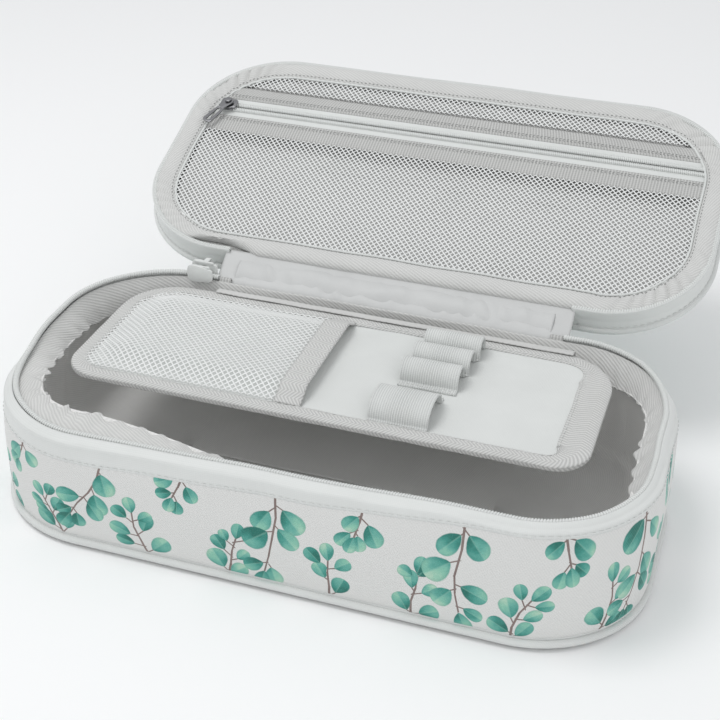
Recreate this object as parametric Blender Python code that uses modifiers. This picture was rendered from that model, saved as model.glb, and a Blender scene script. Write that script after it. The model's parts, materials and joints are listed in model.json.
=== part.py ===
"""Soft zip-round pencil case: body, hinged lid with a zipped mesh pocket, and a hinged pen divider.

Frame: origin at the centre of the base's underside, +X along the length, +Z up, hinge side at +Y.
Everything is in metres. Lid pieces are modelled shut, then turned open about the lid's hinge.
"""

import math

import bmesh
import bpy
from mathutils import Vector

# Driving dimensions of the case.
LENGTH = 0.220
DEPTH = 0.110
CORNER_R = 0.0385
GAP = 0.0003
ARC_STEPS = 6
ZIP_END_X = 0.065  # each zip half stops this far from the middle of the hinge side

# Body, from the underside up.
BASE_T = 0.0020
BOARD_T = 0.0020
PIPING_R = 0.0017
PIPING_INSET = 0.0004
PIPING_LIFT = 0.0005
WALL_LOW = 0.0042
WALL_TOP = 0.0380
WALL_T = 0.0012
WALL_BULGE = 0.0006
WALL_CURVE = ((0.0, 0.0), (0.3, 0.8), (0.6, 1.0), (0.85, 0.5), (1.0, 0.0))  # share of height, share of bulge
FOAM_T = 0.0020
LINING_T = 0.0008
LINING_INSET = 0.0042
FLOOR_LIFT = 0.0001  # more room between the board and the lining
RIM_BINDING = ((0.0053, 0.0335), (0.0053, WALL_TOP))  # inset, z
BODY_TAPE_LOW = 0.0384
BODY_TAPE_TOP = 0.0446
TAPE_T = 0.0008
TAPE_FOOT_INSET = 0.0009
COIL_INSET = 0.0016
COIL_R = 0.0011
BODY_COIL_Z = 0.0460
TAB_X = (0.0605, 0.0645)
TAB_Y = (0.0534, 0.0546)
TAB_TOP = 0.0455

# Lid, as it sits when shut.
LID_COIL_Z = 0.0494
LID_TAPE_LOW = 0.0508
LID_TAPE_TOP = 0.0566
LID_PIPING_R = 0.0015
LID_PIPING_INSET = 0.0006
LID_PIPING_Z = 0.0584
LID_LINING_Z = 0.0560
LID_BOARD_Z = 0.0569
LID_PANEL_Z = 0.0587
LID_SHEET_T = 0.0006
LID_BOARD_T = 0.0015
LID_PANEL_T = 0.0016
LID_SHEET_INSET = 0.0032
LID_FOAM = ((0.0043, 0.0520), (0.0052, 0.0521), (0.0093, 0.0554), (0.0093, 0.0557), (0.0043, 0.0557))
LID_LINING_SLOPE = ((0.0052, 0.0512), (0.0102, 0.0552))  # inset, z
LID_OPEN = math.radians(159)
LID_HINGE = Vector((0, 0.0593, 0.0497))
HINGE_STRIP_HALF = 0.060
HINGE_LOWER = ((0.0545, 0.0386), (0.0553, 0.0430), (0.0576, 0.0475))  # y, z
HINGE_UPPER = ((0.0579, 0.0490), (0.0553, 0.0480), (0.0544, 0.0495), (0.0541, 0.0564))
STRIP_T = 0.0007

# Pocket in the lid: its layers lie in one plane, in strips across the depth.
POCKET_Z = 0.0500
POCKET_T = 0.0006
POCKET_INSET = 0.0080
POCKET_ZIP_Y = -0.0232
POCKET_TAPE = 0.0049  # from the zip's middle to its tape's edge
POCKET_BINDING_W = (0.0070, 0.0087)  # above the zip, below it
POCKET_COIL_R = 0.0008
POCKET_COIL_OFFSET = 0.00135

# Pocket slider: two wings on a post, and a pull on a headed pin.
POCKET_SLIDER_X = -0.0945
POCKET_WING = Vector((0.0036, 0.0031, 0.0007))  # half length, half width, thickness
POCKET_WING_GAP = 0.0004
POCKET_POST = Vector((0.0012, 0.00025))
POCKET_PIN_R = 0.0006
POCKET_PIN_LONG = 0.0018
POCKET_HEAD_R = 0.0013
POCKET_HEAD_T = 0.0006
POCKET_PULL_LENGTH = 0.0165
POCKET_PULL_HALF = 0.0021
POCKET_PULL_EYE = 0.0010
POCKET_PULL_T = 0.0007
POCKET_PULL_GAP = 0.0006
POCKET_PULL_TURN = math.radians(-21)  # from straight down the slope of the open lid
OVERLAP = 0.0003  # how far joined solids run into each other

# Divider flap.
FLAP_HINGE = Vector((0, 0.0490, 0.0420))
FLAP_X = (-0.0920, 0.0863)
FLAP_Y = (-0.0200, 0.0475)
FLAP_FRONT_R = 0.0120
FLAP_BACK_R = 0.0200
FLAP_T = 0.0012
BINDING_W = 0.0055
BINDING_T = 0.0004
BINDING_FOLD = 0.0006  # the binding's own thickness at the flap's edge
FLAP_PANEL_INSET = 0.0009
FLAP_TAPE = ((0.0502, 0.0386), (0.0509, 0.0412))  # y, z
FLAP_TAPE_HALF = 0.070
MOUTH_X = (-0.0167, -0.0075)
MOUTH_Y = (-0.0100, 0.0355)
MOUTH_Z = (0.0469, 0.0479)
NET_MOUTH_X = -0.0170
NET_BACK_Y = 0.0397
NET_FOOT = 0.0011  # above the flap's panel
NET_TOP_Z = 0.0471
NET_SLOPE = 0.0040
LOOP_T = 0.0007
LOOP_H = 0.0062
LOOP_LONG = 0.0200
LOOP_STEPS = 10
LOOPS = (  # centre x, centre y, width across the pen
    (0.0300, 0.0373, 0.0086),
    (0.0290, 0.0272, 0.0100),
    (0.0280, 0.0164, 0.0100),
    (0.0250, -0.0053, 0.0170),
)

# Main slider, on the body's zip where the hinge side meets the left corner.
SLIDER_X = -(LENGTH / 2 - CORNER_R)
SLIDER_LONG = 0.0100
SLIDER_Z = (0.0439, 0.0506)
WING_T = 0.0008
OUTER_WING_T = 0.0010
PULL_PIN = Vector((SLIDER_X, 0.0586, 0.0474))
PULL_PIN_R = 0.0005
PULL_DROP = 0.0230
INNER_WING_GAP = 0.0009  # from the coils to each wing
OUTER_WING_GAP = 0.0006
WEB_HALF = Vector((0.0025, 0.0003))
BAIL_HALF_X = 0.0010
BAIL_OUT = 0.0016  # past the pin, and below and above it
BAIL_DOWN = 0.0022
BAIL_UP = 0.0028
EYE_HALF_X = 0.0020
EYE_HALF = 0.0008
EYE_UP = 0.0014
PULL_HALF = 0.0031
PULL_ARM = Vector((0.0024, 0.0007, 0.0038))  # centre x, half width, length
PULL_HALF_T = 0.0005

WHITE = (0.86, 0.88, 0.86)
TWILL = (0.76, 0.77, 0.76)
NET = (0.90, 0.91, 0.90)
GREY = (0.45, 0.45, 0.44)
METAL = (0.30, 0.30, 0.31)


def clear_scene():
    """Remove whatever the file opened with."""
    for obj in list(bpy.data.objects):
        bpy.data.objects.remove(obj, do_unlink=True)


def make_collection(name, hidden=False):
    """A collection linked to the scene; hidden ones hold cutters."""
    group = bpy.data.collections.new(name)
    group.hide_render = hidden
    bpy.context.scene.collection.children.link(group)
    return group


def paint(obj, colour, roughness, metallic=0.0):
    """Give the object its own Principled material."""
    mat = bpy.data.materials.new(obj.name)
    mat.use_nodes = True
    shader = mat.node_tree.nodes["Principled BSDF"]
    shader.inputs["Base Color"].default_value = (*colour, 1.0)
    shader.inputs["Roughness"].default_value = roughness
    shader.inputs["Metallic"].default_value = metallic
    obj.data.materials.clear()
    obj.data.materials.append(mat)


def place(name, data, group, pivot=None):
    """Make an object whose data is in world coordinates, hung from a pivot empty if there is one."""
    obj = bpy.data.objects.new(name, data)
    group.objects.link(obj)
    if pivot is not None:
        obj.parent = pivot
        obj.location = -pivot_rest(pivot)
    return obj


def pivot_rest(pivot):
    """Where a pivot stands before its parents are turned."""
    at = Vector(pivot.location)
    while pivot.parent is not None:
        pivot = pivot.parent
        at += pivot.location
    return at


def make_pivot(name, at, group, parent=None):
    """An empty on a joint's axis."""
    pivot = bpy.data.objects.new(name, None)
    pivot.empty_display_size = 0.01
    group.objects.link(pivot)
    pivot.parent = parent
    pivot.location = Vector(at) - (pivot_rest(parent) if parent else Vector())
    return pivot


def mesh_from(name, bm):
    """Close a bmesh into mesh data with its faces pointing out."""
    bmesh.ops.recalc_face_normals(bm, faces=bm.faces)
    mesh = bpy.data.meshes.new(name)
    bm.to_mesh(mesh)
    bm.free()
    return mesh


def arc(centre, radius, start, end, steps=ARC_STEPS):
    """Points on an arc, angles in degrees."""
    turns = [math.radians(start + (end - start) * i / steps) for i in range(steps + 1)]
    return [(centre[0] + radius * math.cos(a), centre[1] + radius * math.sin(a)) for a in turns]


def rounded(x_range, y_range, radii):
    """A rounded rectangle, anticlockwise; radii are front right, back right, back left, front left."""
    (x0, x1), (y0, y1) = x_range, y_range
    fr, br, bl, fl = radii
    points = arc((x1 - fr, y0 + fr), fr, -90, 0)
    points += arc((x1 - br, y1 - br), br, 0, 90)
    points += arc((x0 + bl, y1 - bl), bl, 90, 180)
    points += arc((x0 + fl, y0 + fl), fl, 180, 270)
    return points


def case_outline(inset):
    """The case's plan outline, moved in by inset."""
    x, y, r = LENGTH / 2 - inset, DEPTH / 2 - inset, CORNER_R - inset
    return rounded((-x, x), (-y, y), (r,) * 4)


def zip_path(inset):
    """The open run of a zip half: round the case from the hinge side's left to its right."""
    ring = case_outline(inset)
    first = 2 * (ARC_STEPS + 1)  # the start of the back left corner
    y = DEPTH / 2 - inset
    return [(-ZIP_END_X, y)] + ring[first:] + ring[:first] + [(ZIP_END_X, y)]


def band(name, outline_at, stations, thickness, group, pivot=None, closed=True):
    """A wall of fabric: an open surface through (inset, z) stations round the case, thickened by Solidify."""
    bm = bmesh.new()
    rows = []
    for inset, z in stations:
        rows.append([bm.verts.new((x, y, z)) for x, y in outline_at(inset)])
    count = len(rows[0])
    for low, high in zip(rows, rows[1:]):
        for i in range(count if closed else count - 1):
            j = (i + 1) % count
            bm.faces.new((low[i], low[j], high[j], high[i]))
    obj = place(name, mesh_from(name, bm), group, pivot)
    thicken(obj, thickness)
    return obj


def thicken(obj, thickness):
    """Solidify about the middle surface."""
    solid = obj.modifiers.new("Thickness", "SOLIDIFY")
    solid.thickness = thickness
    solid.offset = 0.0
    solid.use_even_offset = True


def ring(name, outline_at, section, group, pivot=None):
    """A solid ring: a closed (inset, z) section carried round the outline."""
    bm = bmesh.new()
    rows = [[bm.verts.new((x, y, z)) for x, y in outline_at(inset)] for inset, z in section]
    count = len(rows[0])
    for low, high in zip(rows, rows[1:] + rows[:1]):
        for i in range(count):
            j = (i + 1) % count
            bm.faces.new((low[i], low[j], high[j], high[i]))
    return place(name, mesh_from(name, bm), group, pivot)


def plate(name, outlines, z_low, thickness, group, pivot=None):
    """A flat sheet of the first outline, less any further outlines as holes."""
    curve = bpy.data.curves.new(name, "CURVE")
    curve.dimensions = "2D"
    curve.fill_mode = "BOTH"
    curve.extrude = thickness / 2
    for points in outlines:
        spline = curve.splines.new("POLY")
        spline.points.add(len(points) - 1)
        for point, (x, y) in zip(spline.points, points):
            point.co = (x, y, 0, 1)
        spline.use_cyclic_u = True
    obj = place(name, curve, group, pivot)
    obj.location.z += z_low + thickness / 2
    return obj


def bead(name, points, z, radius, group, pivot=None, closed=True):
    """A round cord along plan points at one height."""
    curve = bpy.data.curves.new(name, "CURVE")
    curve.dimensions = "3D"
    curve.bevel_depth = radius
    curve.bevel_resolution = 2
    curve.use_fill_caps = True
    spline = curve.splines.new("POLY")
    spline.points.add(len(points) - 1)
    for point, (x, y) in zip(spline.points, points):
        point.co = (x, y, z, 1)
    spline.use_cyclic_u = closed
    return place(name, curve, group, pivot)


def add_block(bm, low, high):
    """A box between two corners."""
    low, high = Vector(low), Vector(high)
    made = bmesh.ops.create_cube(bm, size=1.0)["verts"]
    bmesh.ops.scale(bm, vec=high - low, verts=made)
    bmesh.ops.translate(bm, vec=(low + high) / 2, verts=made)


def block(name, low, high, group, pivot=None):
    """A box as its own object."""
    bm = bmesh.new()
    add_block(bm, low, high)
    return place(name, mesh_from(name, bm), group, pivot)


def rod(name, axis, centre, radius, length, group, pivot=None, sides=12):
    """A cylinder along X or Z."""
    bm = bmesh.new()
    made = bmesh.ops.create_cone(
        bm, cap_ends=True, segments=sides, radius1=radius, radius2=radius, depth=length
    )["verts"]
    if axis == "X":
        for vert in made:
            vert.co = Vector((vert.co.z, vert.co.y, -vert.co.x))
    bmesh.ops.translate(bm, vec=centre, verts=made)
    obj = place(name, mesh_from(name, bm), group, pivot)
    obj.data.shade_smooth()
    return obj


def join_with(obj, others, cutters, operation="UNION"):
    """Union or cut obj with helper objects, which move to the hidden collection."""
    for other in others:
        change = obj.modifiers.new(f"{operation} {other.name}", "BOOLEAN")
        change.operation = operation
        change.object = other
        other.hide_render = True
        other.display_type = "WIRE"
        for group in list(other.users_collection):
            group.objects.unlink(other)
        cutters.objects.link(other)


def strip_across(points, y_low, y_high):
    """The part of a convex outline between two depths."""
    for limit, sign in ((y_low, 1), (y_high, -1)):
        kept = []
        for a, b in zip(points, points[1:] + points[:1]):
            a_in = sign * (a[1] - limit) >= 0
            b_in = sign * (b[1] - limit) >= 0
            if a_in:
                kept.append(a)
            if a_in != b_in:
                t = (limit - a[1]) / (b[1] - a[1])
                kept.append((a[0] + t * (b[0] - a[0]), limit))
        points = kept
    return points


def profile_strip(name, x_low, x_high, profile, thickness, group, pivot=None):
    """Cloth with a (y, z) profile, drawn out along X and thickened."""
    bm = bmesh.new()
    left = [bm.verts.new((x_low, y, z)) for y, z in profile]
    right = [bm.verts.new((x_high, y, z)) for y, z in profile]
    for i in range(len(profile) - 1):
        bm.faces.new((left[i], right[i], right[i + 1], left[i + 1]))
    obj = place(name, mesh_from(name, bm), group, pivot)
    thicken(obj, thickness)
    return obj


def make_body(group):
    """The rigid part of the case: base, walls, lining and the lower half of the zip."""
    inner_edge = PIPING_INSET + PIPING_R + GAP
    paint(plate("base_panel", [case_outline(inner_edge)], 0, BASE_T, group), WHITE, 0.85)
    paint(
        plate("base_board", [case_outline(LINING_INSET)], BASE_T + GAP, BOARD_T, group), GREY, 0.9
    )
    piping_z = PIPING_R + PIPING_LIFT
    piping = bead("base_piping", case_outline(PIPING_INSET), piping_z, PIPING_R, group)
    paint(piping, WHITE, 0.7)

    height = WALL_TOP - WALL_LOW
    wall = [(WALL_T / 2 - WALL_BULGE * b, WALL_LOW + height * h) for h, b in WALL_CURVE]
    paint(band("printed_wall", case_outline, wall, WALL_T, group), (0.80, 0.86, 0.83), 0.85)
    foam_mid = WALL_T + GAP + FOAM_T / 2
    foam_low, foam_height = WALL_LOW + 2 * GAP, height - 3 * GAP
    foam = [(foam_mid - WALL_BULGE * b, foam_low + foam_height * h) for h, b in WALL_CURVE]
    paint(band("wall_foam", case_outline, foam, FOAM_T, group), GREY, 0.95)

    floor_z = BASE_T + GAP + BOARD_T + GAP + LINING_T / 2 + FLOOR_LIFT
    paint(make_cup("body_lining", floor_z, WALL_TOP - GAP, group), TWILL, 0.8)
    paint(band("body_rim_binding", case_outline, RIM_BINDING, TAPE_T, group), TWILL, 0.8)

    tape = [(TAPE_FOOT_INSET, BODY_TAPE_LOW), (COIL_INSET, BODY_TAPE_TOP)]
    paint(band("body_zipper_tape", zip_path, tape, TAPE_T, group, closed=False), WHITE, 0.7)
    coil = bead("body_zipper_coil", zip_path(COIL_INSET), BODY_COIL_Z, COIL_R, group, closed=False)
    paint(coil, WHITE, 0.4)
    for side, name in ((-1, "zip_end_tab_left"), (1, "zip_end_tab_right")):
        left, right = sorted(side * x for x in TAB_X)
        tab = block(name, (left, TAB_Y[0], BODY_TAPE_LOW), (right, TAB_Y[1], TAB_TOP), group)
        paint(tab, WHITE, 0.7)

    half = HINGE_STRIP_HALF
    strip = profile_strip("hinge_strip_lower", -half, half, HINGE_LOWER, STRIP_T, group)
    paint(strip, WHITE, 0.5)
    half = FLAP_TAPE_HALF
    tape = profile_strip("divider_hinge_tape", -half, half, FLAP_TAPE, STRIP_T, group)
    paint(tape, TWILL, 0.8)


def make_cup(name, floor_z, top_z, group):
    """The inner lining: a floor and walls in one piece of cloth, open at the top."""
    bm = bmesh.new()
    low = [bm.verts.new((x, y, floor_z)) for x, y in case_outline(LINING_INSET)]
    high = [bm.verts.new((x, y, top_z)) for x, y in case_outline(LINING_INSET)]
    bm.faces.new(low)
    for i in range(len(low)):
        j = (i + 1) % len(low)
        bm.faces.new((low[i], low[j], high[j], high[i]))
    obj = place(name, mesh_from(name, bm), group)
    thicken(obj, LINING_T)
    return obj


def make_lid(group, pivot):
    """The lid's shell, modelled shut and hung from the hinge pivot."""
    sheet_inset = LID_PIPING_INSET + LID_PIPING_R + GAP
    panel = plate("lid_panel", [case_outline(sheet_inset)], LID_PANEL_Z, LID_PANEL_T, group, pivot)
    paint(panel, (0.80, 0.86, 0.83), 0.85)
    inner = [case_outline(LID_SHEET_INSET)]
    paint(plate("lid_board", inner, LID_BOARD_Z, LID_BOARD_T, group, pivot), GREY, 0.9)
    paint(plate("lid_lining_panel", inner, LID_LINING_Z, LID_SHEET_T, group, pivot), TWILL, 0.8)
    piping = bead(
        "lid_piping", case_outline(LID_PIPING_INSET), LID_PIPING_Z, LID_PIPING_R, group, pivot
    )
    paint(piping, WHITE, 0.7)
    paint(ring("lid_wall_foam", case_outline, LID_FOAM, group, pivot), GREY, 0.95)
    lining = band("lid_lining_band", case_outline, LID_LINING_SLOPE, LINING_T, group, pivot)
    paint(lining, TWILL, 0.8)
    tape = [(COIL_INSET, LID_TAPE_LOW), (TAPE_FOOT_INSET, LID_TAPE_TOP)]
    paint(band("lid_zipper_tape", zip_path, tape, TAPE_T, group, pivot, closed=False), WHITE, 0.7)
    coil = bead("lid_zipper_coil", zip_path(COIL_INSET), LID_COIL_Z, COIL_R, group, pivot, False)
    paint(coil, WHITE, 0.4)
    half = HINGE_STRIP_HALF
    strip = profile_strip("hinge_strip_upper", -half, half, HINGE_UPPER, STRIP_T, group, pivot)
    paint(strip, WHITE, 0.5)


def make_pocket(group, pivot):
    """The mesh pocket across the lid: netting, bindings and a straight zip."""
    whole = case_outline(POCKET_INSET)
    coil_edge = POCKET_COIL_OFFSET + POCKET_COIL_R + GAP
    zip_low, zip_high = POCKET_ZIP_Y - coil_edge, POCKET_ZIP_Y + coil_edge
    tape_low, tape_high = POCKET_ZIP_Y - POCKET_TAPE, POCKET_ZIP_Y + POCKET_TAPE
    edge_low = tape_low - GAP - POCKET_BINDING_W[0]
    edge_high = tape_high + GAP + POCKET_BINDING_W[1]
    strips = (
        ("pocket_mesh_upper", -DEPTH / 2, edge_low - GAP, NET),
        ("pocket_binding_upper", edge_low, tape_low - GAP, TWILL),
        ("pocket_zipper_tape_upper", tape_low, zip_low, WHITE),
        ("pocket_zipper_tape_lower", zip_high, tape_high, WHITE),
        ("pocket_binding_lower", tape_high + GAP, edge_high, TWILL),
        ("pocket_mesh_main", edge_high + GAP, DEPTH / 2, NET),
    )
    low = POCKET_Z - POCKET_T / 2
    for name, y_low, y_high, colour in strips:
        outline = strip_across(whole, y_low, y_high)
        paint(plate(name, [outline], low, POCKET_T, group, pivot), colour, 0.7)
    for name, side in (("pocket_coil_upper", -1), ("pocket_coil_lower", 1)):
        y = POCKET_ZIP_Y + side * POCKET_COIL_OFFSET
        half = max(x for x, _ in strip_across(whole, zip_low, zip_high)) - 0.002
        coil = bead(name, [(-half, y), (half, y)], POCKET_Z, POCKET_COIL_R, group, pivot, False)
        paint(coil, WHITE, 0.4)


def make_pocket_slider(group, cutters, pivot, pull_pivot):
    """Slider of the pocket zip, two wings on a thin post, and its flat pull on a headed pin."""
    x, y = POCKET_SLIDER_X, POCKET_ZIP_Y
    reach = POCKET_COIL_R + POCKET_WING_GAP
    near, far = POCKET_Z - reach, POCKET_Z + reach  # the wings' inner faces; near is the side that shows
    half_x, half_y, wing = POCKET_WING
    body = block(
        "pocket_slider", (x - half_x, y - half_y, near - wing), (x + half_x, y + half_y, near),
        group, pivot,
    )
    back = block(
        "pocket_slider_back", (x - half_x, y - half_y, far), (x + half_x, y + half_y, far + wing),
        group, pivot,
    )
    post_x, post_y = POCKET_POST
    post = block(
        "pocket_slider_post", (x - post_x, y - post_y, near - OVERLAP),
        (x + post_x, y + post_y, far + OVERLAP), group, pivot,
    )
    pin_low, pin_high = near - wing - POCKET_PIN_LONG, near - OVERLAP
    pin = rod(
        "pocket_slider_pin", "Z", (x, y, (pin_low + pin_high) / 2), POCKET_PIN_R,
        pin_high - pin_low, group, pivot,
    )
    head = rod("pocket_slider_head", "Z", (x, y, pin_low), POCKET_HEAD_R, POCKET_HEAD_T, group, pivot)
    join_with(body, [back, post, pin, head], cutters)
    paint(body, METAL, 0.35, 0.9)

    # The pull is drawn straight down the slope, then turned about the pin by its pivot.
    half, far_y = POCKET_PULL_HALF, y + POCKET_PULL_LENGTH - POCKET_PULL_HALF
    outline = arc((x, y), half, 180, 360) + arc((x, far_y), half, 0, 180)
    hole = arc((x, y), POCKET_PULL_EYE, 360, 30, 11)
    pull_low = near - wing - POCKET_PULL_GAP - POCKET_PULL_T
    pull = plate("pocket_pull", [outline, hole], pull_low, POCKET_PULL_T, group, pull_pivot)
    paint(pull, METAL, 0.3, 0.95)


def make_main_slider(group, cutters, pivot, pull_pivot):
    """Main slider: inner and outer wings on a web between the two coils, a bail, and its pull."""
    x, half = SLIDER_X, SLIDER_LONG / 2
    coil_y = DEPTH / 2 - COIL_INSET
    z_low, z_high = SLIDER_Z
    inner_y = coil_y - COIL_R - INNER_WING_GAP
    outer_y = coil_y + COIL_R + OUTER_WING_GAP
    web_z = (BODY_COIL_Z + LID_COIL_Z) / 2
    body = block(
        "main_slider", (x - half, outer_y, z_low), (x + half, outer_y + OUTER_WING_T, z_high),
        group, pivot,
    )
    inner = block(
        "main_slider_inner", (x - half, inner_y - WING_T, z_low), (x + half, inner_y, z_high),
        group, pivot,
    )
    web_x, web_half_z = WEB_HALF
    web = block(
        "main_slider_web", (x - web_x, inner_y - OVERLAP, web_z - web_half_z),
        (x + web_x, outer_y + OVERLAP, web_z + web_half_z), group, pivot,
    )
    pin = PULL_PIN
    bail = block(
        "main_slider_bail", (x - BAIL_HALF_X, outer_y + OVERLAP, pin.z - BAIL_DOWN),
        (x + BAIL_HALF_X, pin.y + BAIL_OUT, pin.z + BAIL_UP), group, pivot,
    )
    eye = block(
        "main_slider_eye", (x - EYE_HALF_X, pin.y - EYE_HALF, pin.z - EYE_HALF),
        (x + EYE_HALF_X, pin.y + EYE_HALF, pin.z + EYE_UP), group, pivot,
    )
    join_with(body, [inner, web, bail], cutters)
    join_with(body, [eye], cutters, "DIFFERENCE")
    paint(body, WHITE, 0.4)
    make_main_pull(group, cutters, pull_pivot)


def make_main_pull(group, cutters, pivot):
    """The main slider's pull: a bar through the bail, two arms and a flat tab."""
    pin, half_t = PULL_PIN, PULL_HALF_T
    arm_x, arm_half, arm_long = PULL_ARM
    pull = rod("main_pull", "X", pin, PULL_PIN_R, 2 * (PULL_HALF - OVERLAP), group, pivot)
    arm_z, tab_z = pin.z - arm_long, pin.z - PULL_DROP
    arms = []
    for side in (-1, 1):
        x = pin.x + side * arm_x
        arms.append(block(
            f"main_pull_arm_{side}", (x - arm_half, pin.y - half_t, arm_z - OVERLAP),
            (x + arm_half, pin.y + half_t, pin.z + half_t), group, pivot,
        ))
    tab = block(
        "main_pull_tab", (pin.x - PULL_HALF, pin.y - half_t, tab_z),
        (pin.x + PULL_HALF, pin.y + half_t, arm_z), group, pivot,
    )
    join_with(pull, [*arms, tab], cutters)
    paint(pull, WHITE, 0.45)


def flap_outline(inset):
    """The divider's plan outline, moved in by inset."""
    front, back = FLAP_FRONT_R - inset, FLAP_BACK_R - inset
    return rounded(
        (FLAP_X[0] + inset, FLAP_X[1] - inset),
        (FLAP_Y[0] + inset, FLAP_Y[1] - inset),
        (front, back, back, front),
    )


def make_divider(group, pivot):
    """The flap over the body: a stiff sheet, its edge binding, a net pocket and four pen loops."""
    low, high = FLAP_HINGE.z - FLAP_T / 2, FLAP_HINGE.z + FLAP_T / 2
    panel = plate("divider_panel", [flap_outline(FLAP_PANEL_INSET)], low, FLAP_T, group, pivot)
    paint(panel, WHITE, 0.7)
    lip_low, lip_high = low - GAP, high + GAP
    section = [
        (0.0, lip_low - BINDING_T), (BINDING_W, lip_low - BINDING_T), (BINDING_W, lip_low),
        (BINDING_FOLD, lip_low), (BINDING_FOLD, lip_high), (BINDING_W, lip_high),
        (BINDING_W, lip_high + BINDING_T), (0.0, lip_high + BINDING_T),
    ]
    paint(ring("divider_binding", flap_outline, section, group, pivot), TWILL, 0.85)
    make_net_pocket(high + NET_FOOT, group, pivot)
    corners = list(zip(MOUTH_X, MOUTH_Y, MOUTH_Z))
    paint(block("pocket_mouth_binding", *corners, group, pivot), TWILL, 0.85)
    for number, (x, y, width) in enumerate(LOOPS, 1):
        name = f"elastic_loop_{number}"
        profile = loop_profile(y, width, high + GAP)
        loop = profile_strip(
            name, x - LOOP_LONG / 2, x + LOOP_LONG / 2, profile, LOOP_T, group, pivot
        )
        paint(loop, (0.90, 0.90, 0.90), 0.7)


def loop_profile(y, width, low):
    """A pen loop's half-round (y, z) profile, standing on the height low."""
    foot, rise, half = low + LOOP_T / 2, LOOP_H - LOOP_T, (width - LOOP_T) / 2
    turns = [math.pi * i / LOOP_STEPS for i in range(LOOP_STEPS + 1)]
    return [(y - half * math.cos(a), foot + rise * math.sin(a) ** 0.7) for a in turns]


def make_net_pocket(foot_z, group, pivot):
    """Netting over the divider's left half: sewn on three sides and open at its mouth."""
    x_low, x_mouth = FLAP_X[0] + BINDING_W + GAP, NET_MOUTH_X
    y_low, y_high = FLAP_Y[0] + BINDING_W + GAP, NET_BACK_Y
    slope = NET_SLOPE
    bm = bmesh.new()
    foot = [(x_mouth, y_low), (x_low, y_low), (x_low, y_high), (x_mouth, y_high)]
    crown = [
        (x_mouth, y_low + slope), (x_low + slope, y_low + slope),
        (x_low + slope, y_high - slope), (x_mouth, y_high - slope),
    ]
    low = [bm.verts.new((x, y, foot_z)) for x, y in foot]
    high = [bm.verts.new((x, y, NET_TOP_Z)) for x, y in crown]
    for i in range(3):
        bm.faces.new((low[i], low[i + 1], high[i + 1], high[i]))
    bm.faces.new(high)
    obj = place("divider_mesh_pocket", mesh_from("divider_mesh_pocket", bm), group, pivot)
    thicken(obj, BINDING_T)
    paint(obj, NET, 0.6)


def main():
    clear_scene()
    case = make_collection("pencil_case")
    cutters = make_collection("cutters", hidden=True)

    make_body(case)

    lid_pivot = make_pivot("lid_pivot", LID_HINGE, case)
    make_lid(case, lid_pivot)
    make_pocket(case, lid_pivot)
    pocket_eye = (POCKET_SLIDER_X, POCKET_ZIP_Y, POCKET_Z)
    pocket_slider_pivot = make_pivot("pocket_slider_pivot", pocket_eye, case, lid_pivot)
    pocket_pull_pivot = make_pivot("pocket_pull_pivot", pocket_eye, case, pocket_slider_pivot)
    make_pocket_slider(case, cutters, pocket_slider_pivot, pocket_pull_pivot)
    pocket_pull_pivot.rotation_euler.z = -POCKET_PULL_TURN
    lid_pivot.rotation_euler.x = -LID_OPEN

    corner = (SLIDER_X, DEPTH / 2 - CORNER_R, BODY_COIL_Z)
    main_slider_pivot = make_pivot("main_slider_pivot", corner, case)
    main_pull_pivot = make_pivot("main_pull_pivot", PULL_PIN, case, main_slider_pivot)
    make_main_slider(case, cutters, main_slider_pivot, main_pull_pivot)

    divider_pivot = make_pivot("divider_pivot", FLAP_HINGE, case)
    make_divider(case, divider_pivot)


main()
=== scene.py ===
"""Looks for the soft zip-round pencil case: its cloths, zips, netting and leaf print.

Lengths are in millimetres, in the frame's own axes, and make_object turns them to metres. Lid pieces are
shaped with the lid shut, and piece() turns them open. A cloth is a grid of points, one row for each
station across it and one column for each step along it, with a UV map that the weaves and the print read.
"""

import json
import math
from collections import namedtuple

import bmesh
import bpy
import numpy as np
from mathutils import Matrix, Vector


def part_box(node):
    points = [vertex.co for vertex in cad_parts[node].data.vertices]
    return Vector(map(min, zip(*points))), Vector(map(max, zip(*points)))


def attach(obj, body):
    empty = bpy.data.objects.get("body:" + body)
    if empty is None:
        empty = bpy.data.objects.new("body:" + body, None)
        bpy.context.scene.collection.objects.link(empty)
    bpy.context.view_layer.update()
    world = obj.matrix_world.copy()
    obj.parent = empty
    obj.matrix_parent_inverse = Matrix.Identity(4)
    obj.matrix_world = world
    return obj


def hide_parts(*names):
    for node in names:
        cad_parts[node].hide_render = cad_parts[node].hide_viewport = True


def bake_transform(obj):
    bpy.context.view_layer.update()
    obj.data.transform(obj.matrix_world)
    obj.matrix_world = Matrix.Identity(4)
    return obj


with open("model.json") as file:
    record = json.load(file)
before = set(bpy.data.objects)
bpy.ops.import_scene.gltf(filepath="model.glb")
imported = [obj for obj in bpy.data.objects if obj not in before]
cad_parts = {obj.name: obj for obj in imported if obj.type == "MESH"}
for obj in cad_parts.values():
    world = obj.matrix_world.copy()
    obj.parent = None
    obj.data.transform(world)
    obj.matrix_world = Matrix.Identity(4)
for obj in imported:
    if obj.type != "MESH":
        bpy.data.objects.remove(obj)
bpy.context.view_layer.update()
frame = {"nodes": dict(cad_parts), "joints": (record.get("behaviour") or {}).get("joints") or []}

MM = 0.001

# ---------------------------------------------------------------- sizes read from the frame


def joint(name):
    """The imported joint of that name."""
    return next(j for j in frame["joints"] if j["name"] == name)


def turned(name, degrees):
    """The matrix that turns a point, in metres, about a joint's axis."""
    found = joint(name)
    at = Matrix.Translation(found["pos_m"])
    return at @ Matrix.Rotation(math.radians(degrees), 4, Vector(found["axis"])) @ at.inverted()


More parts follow.
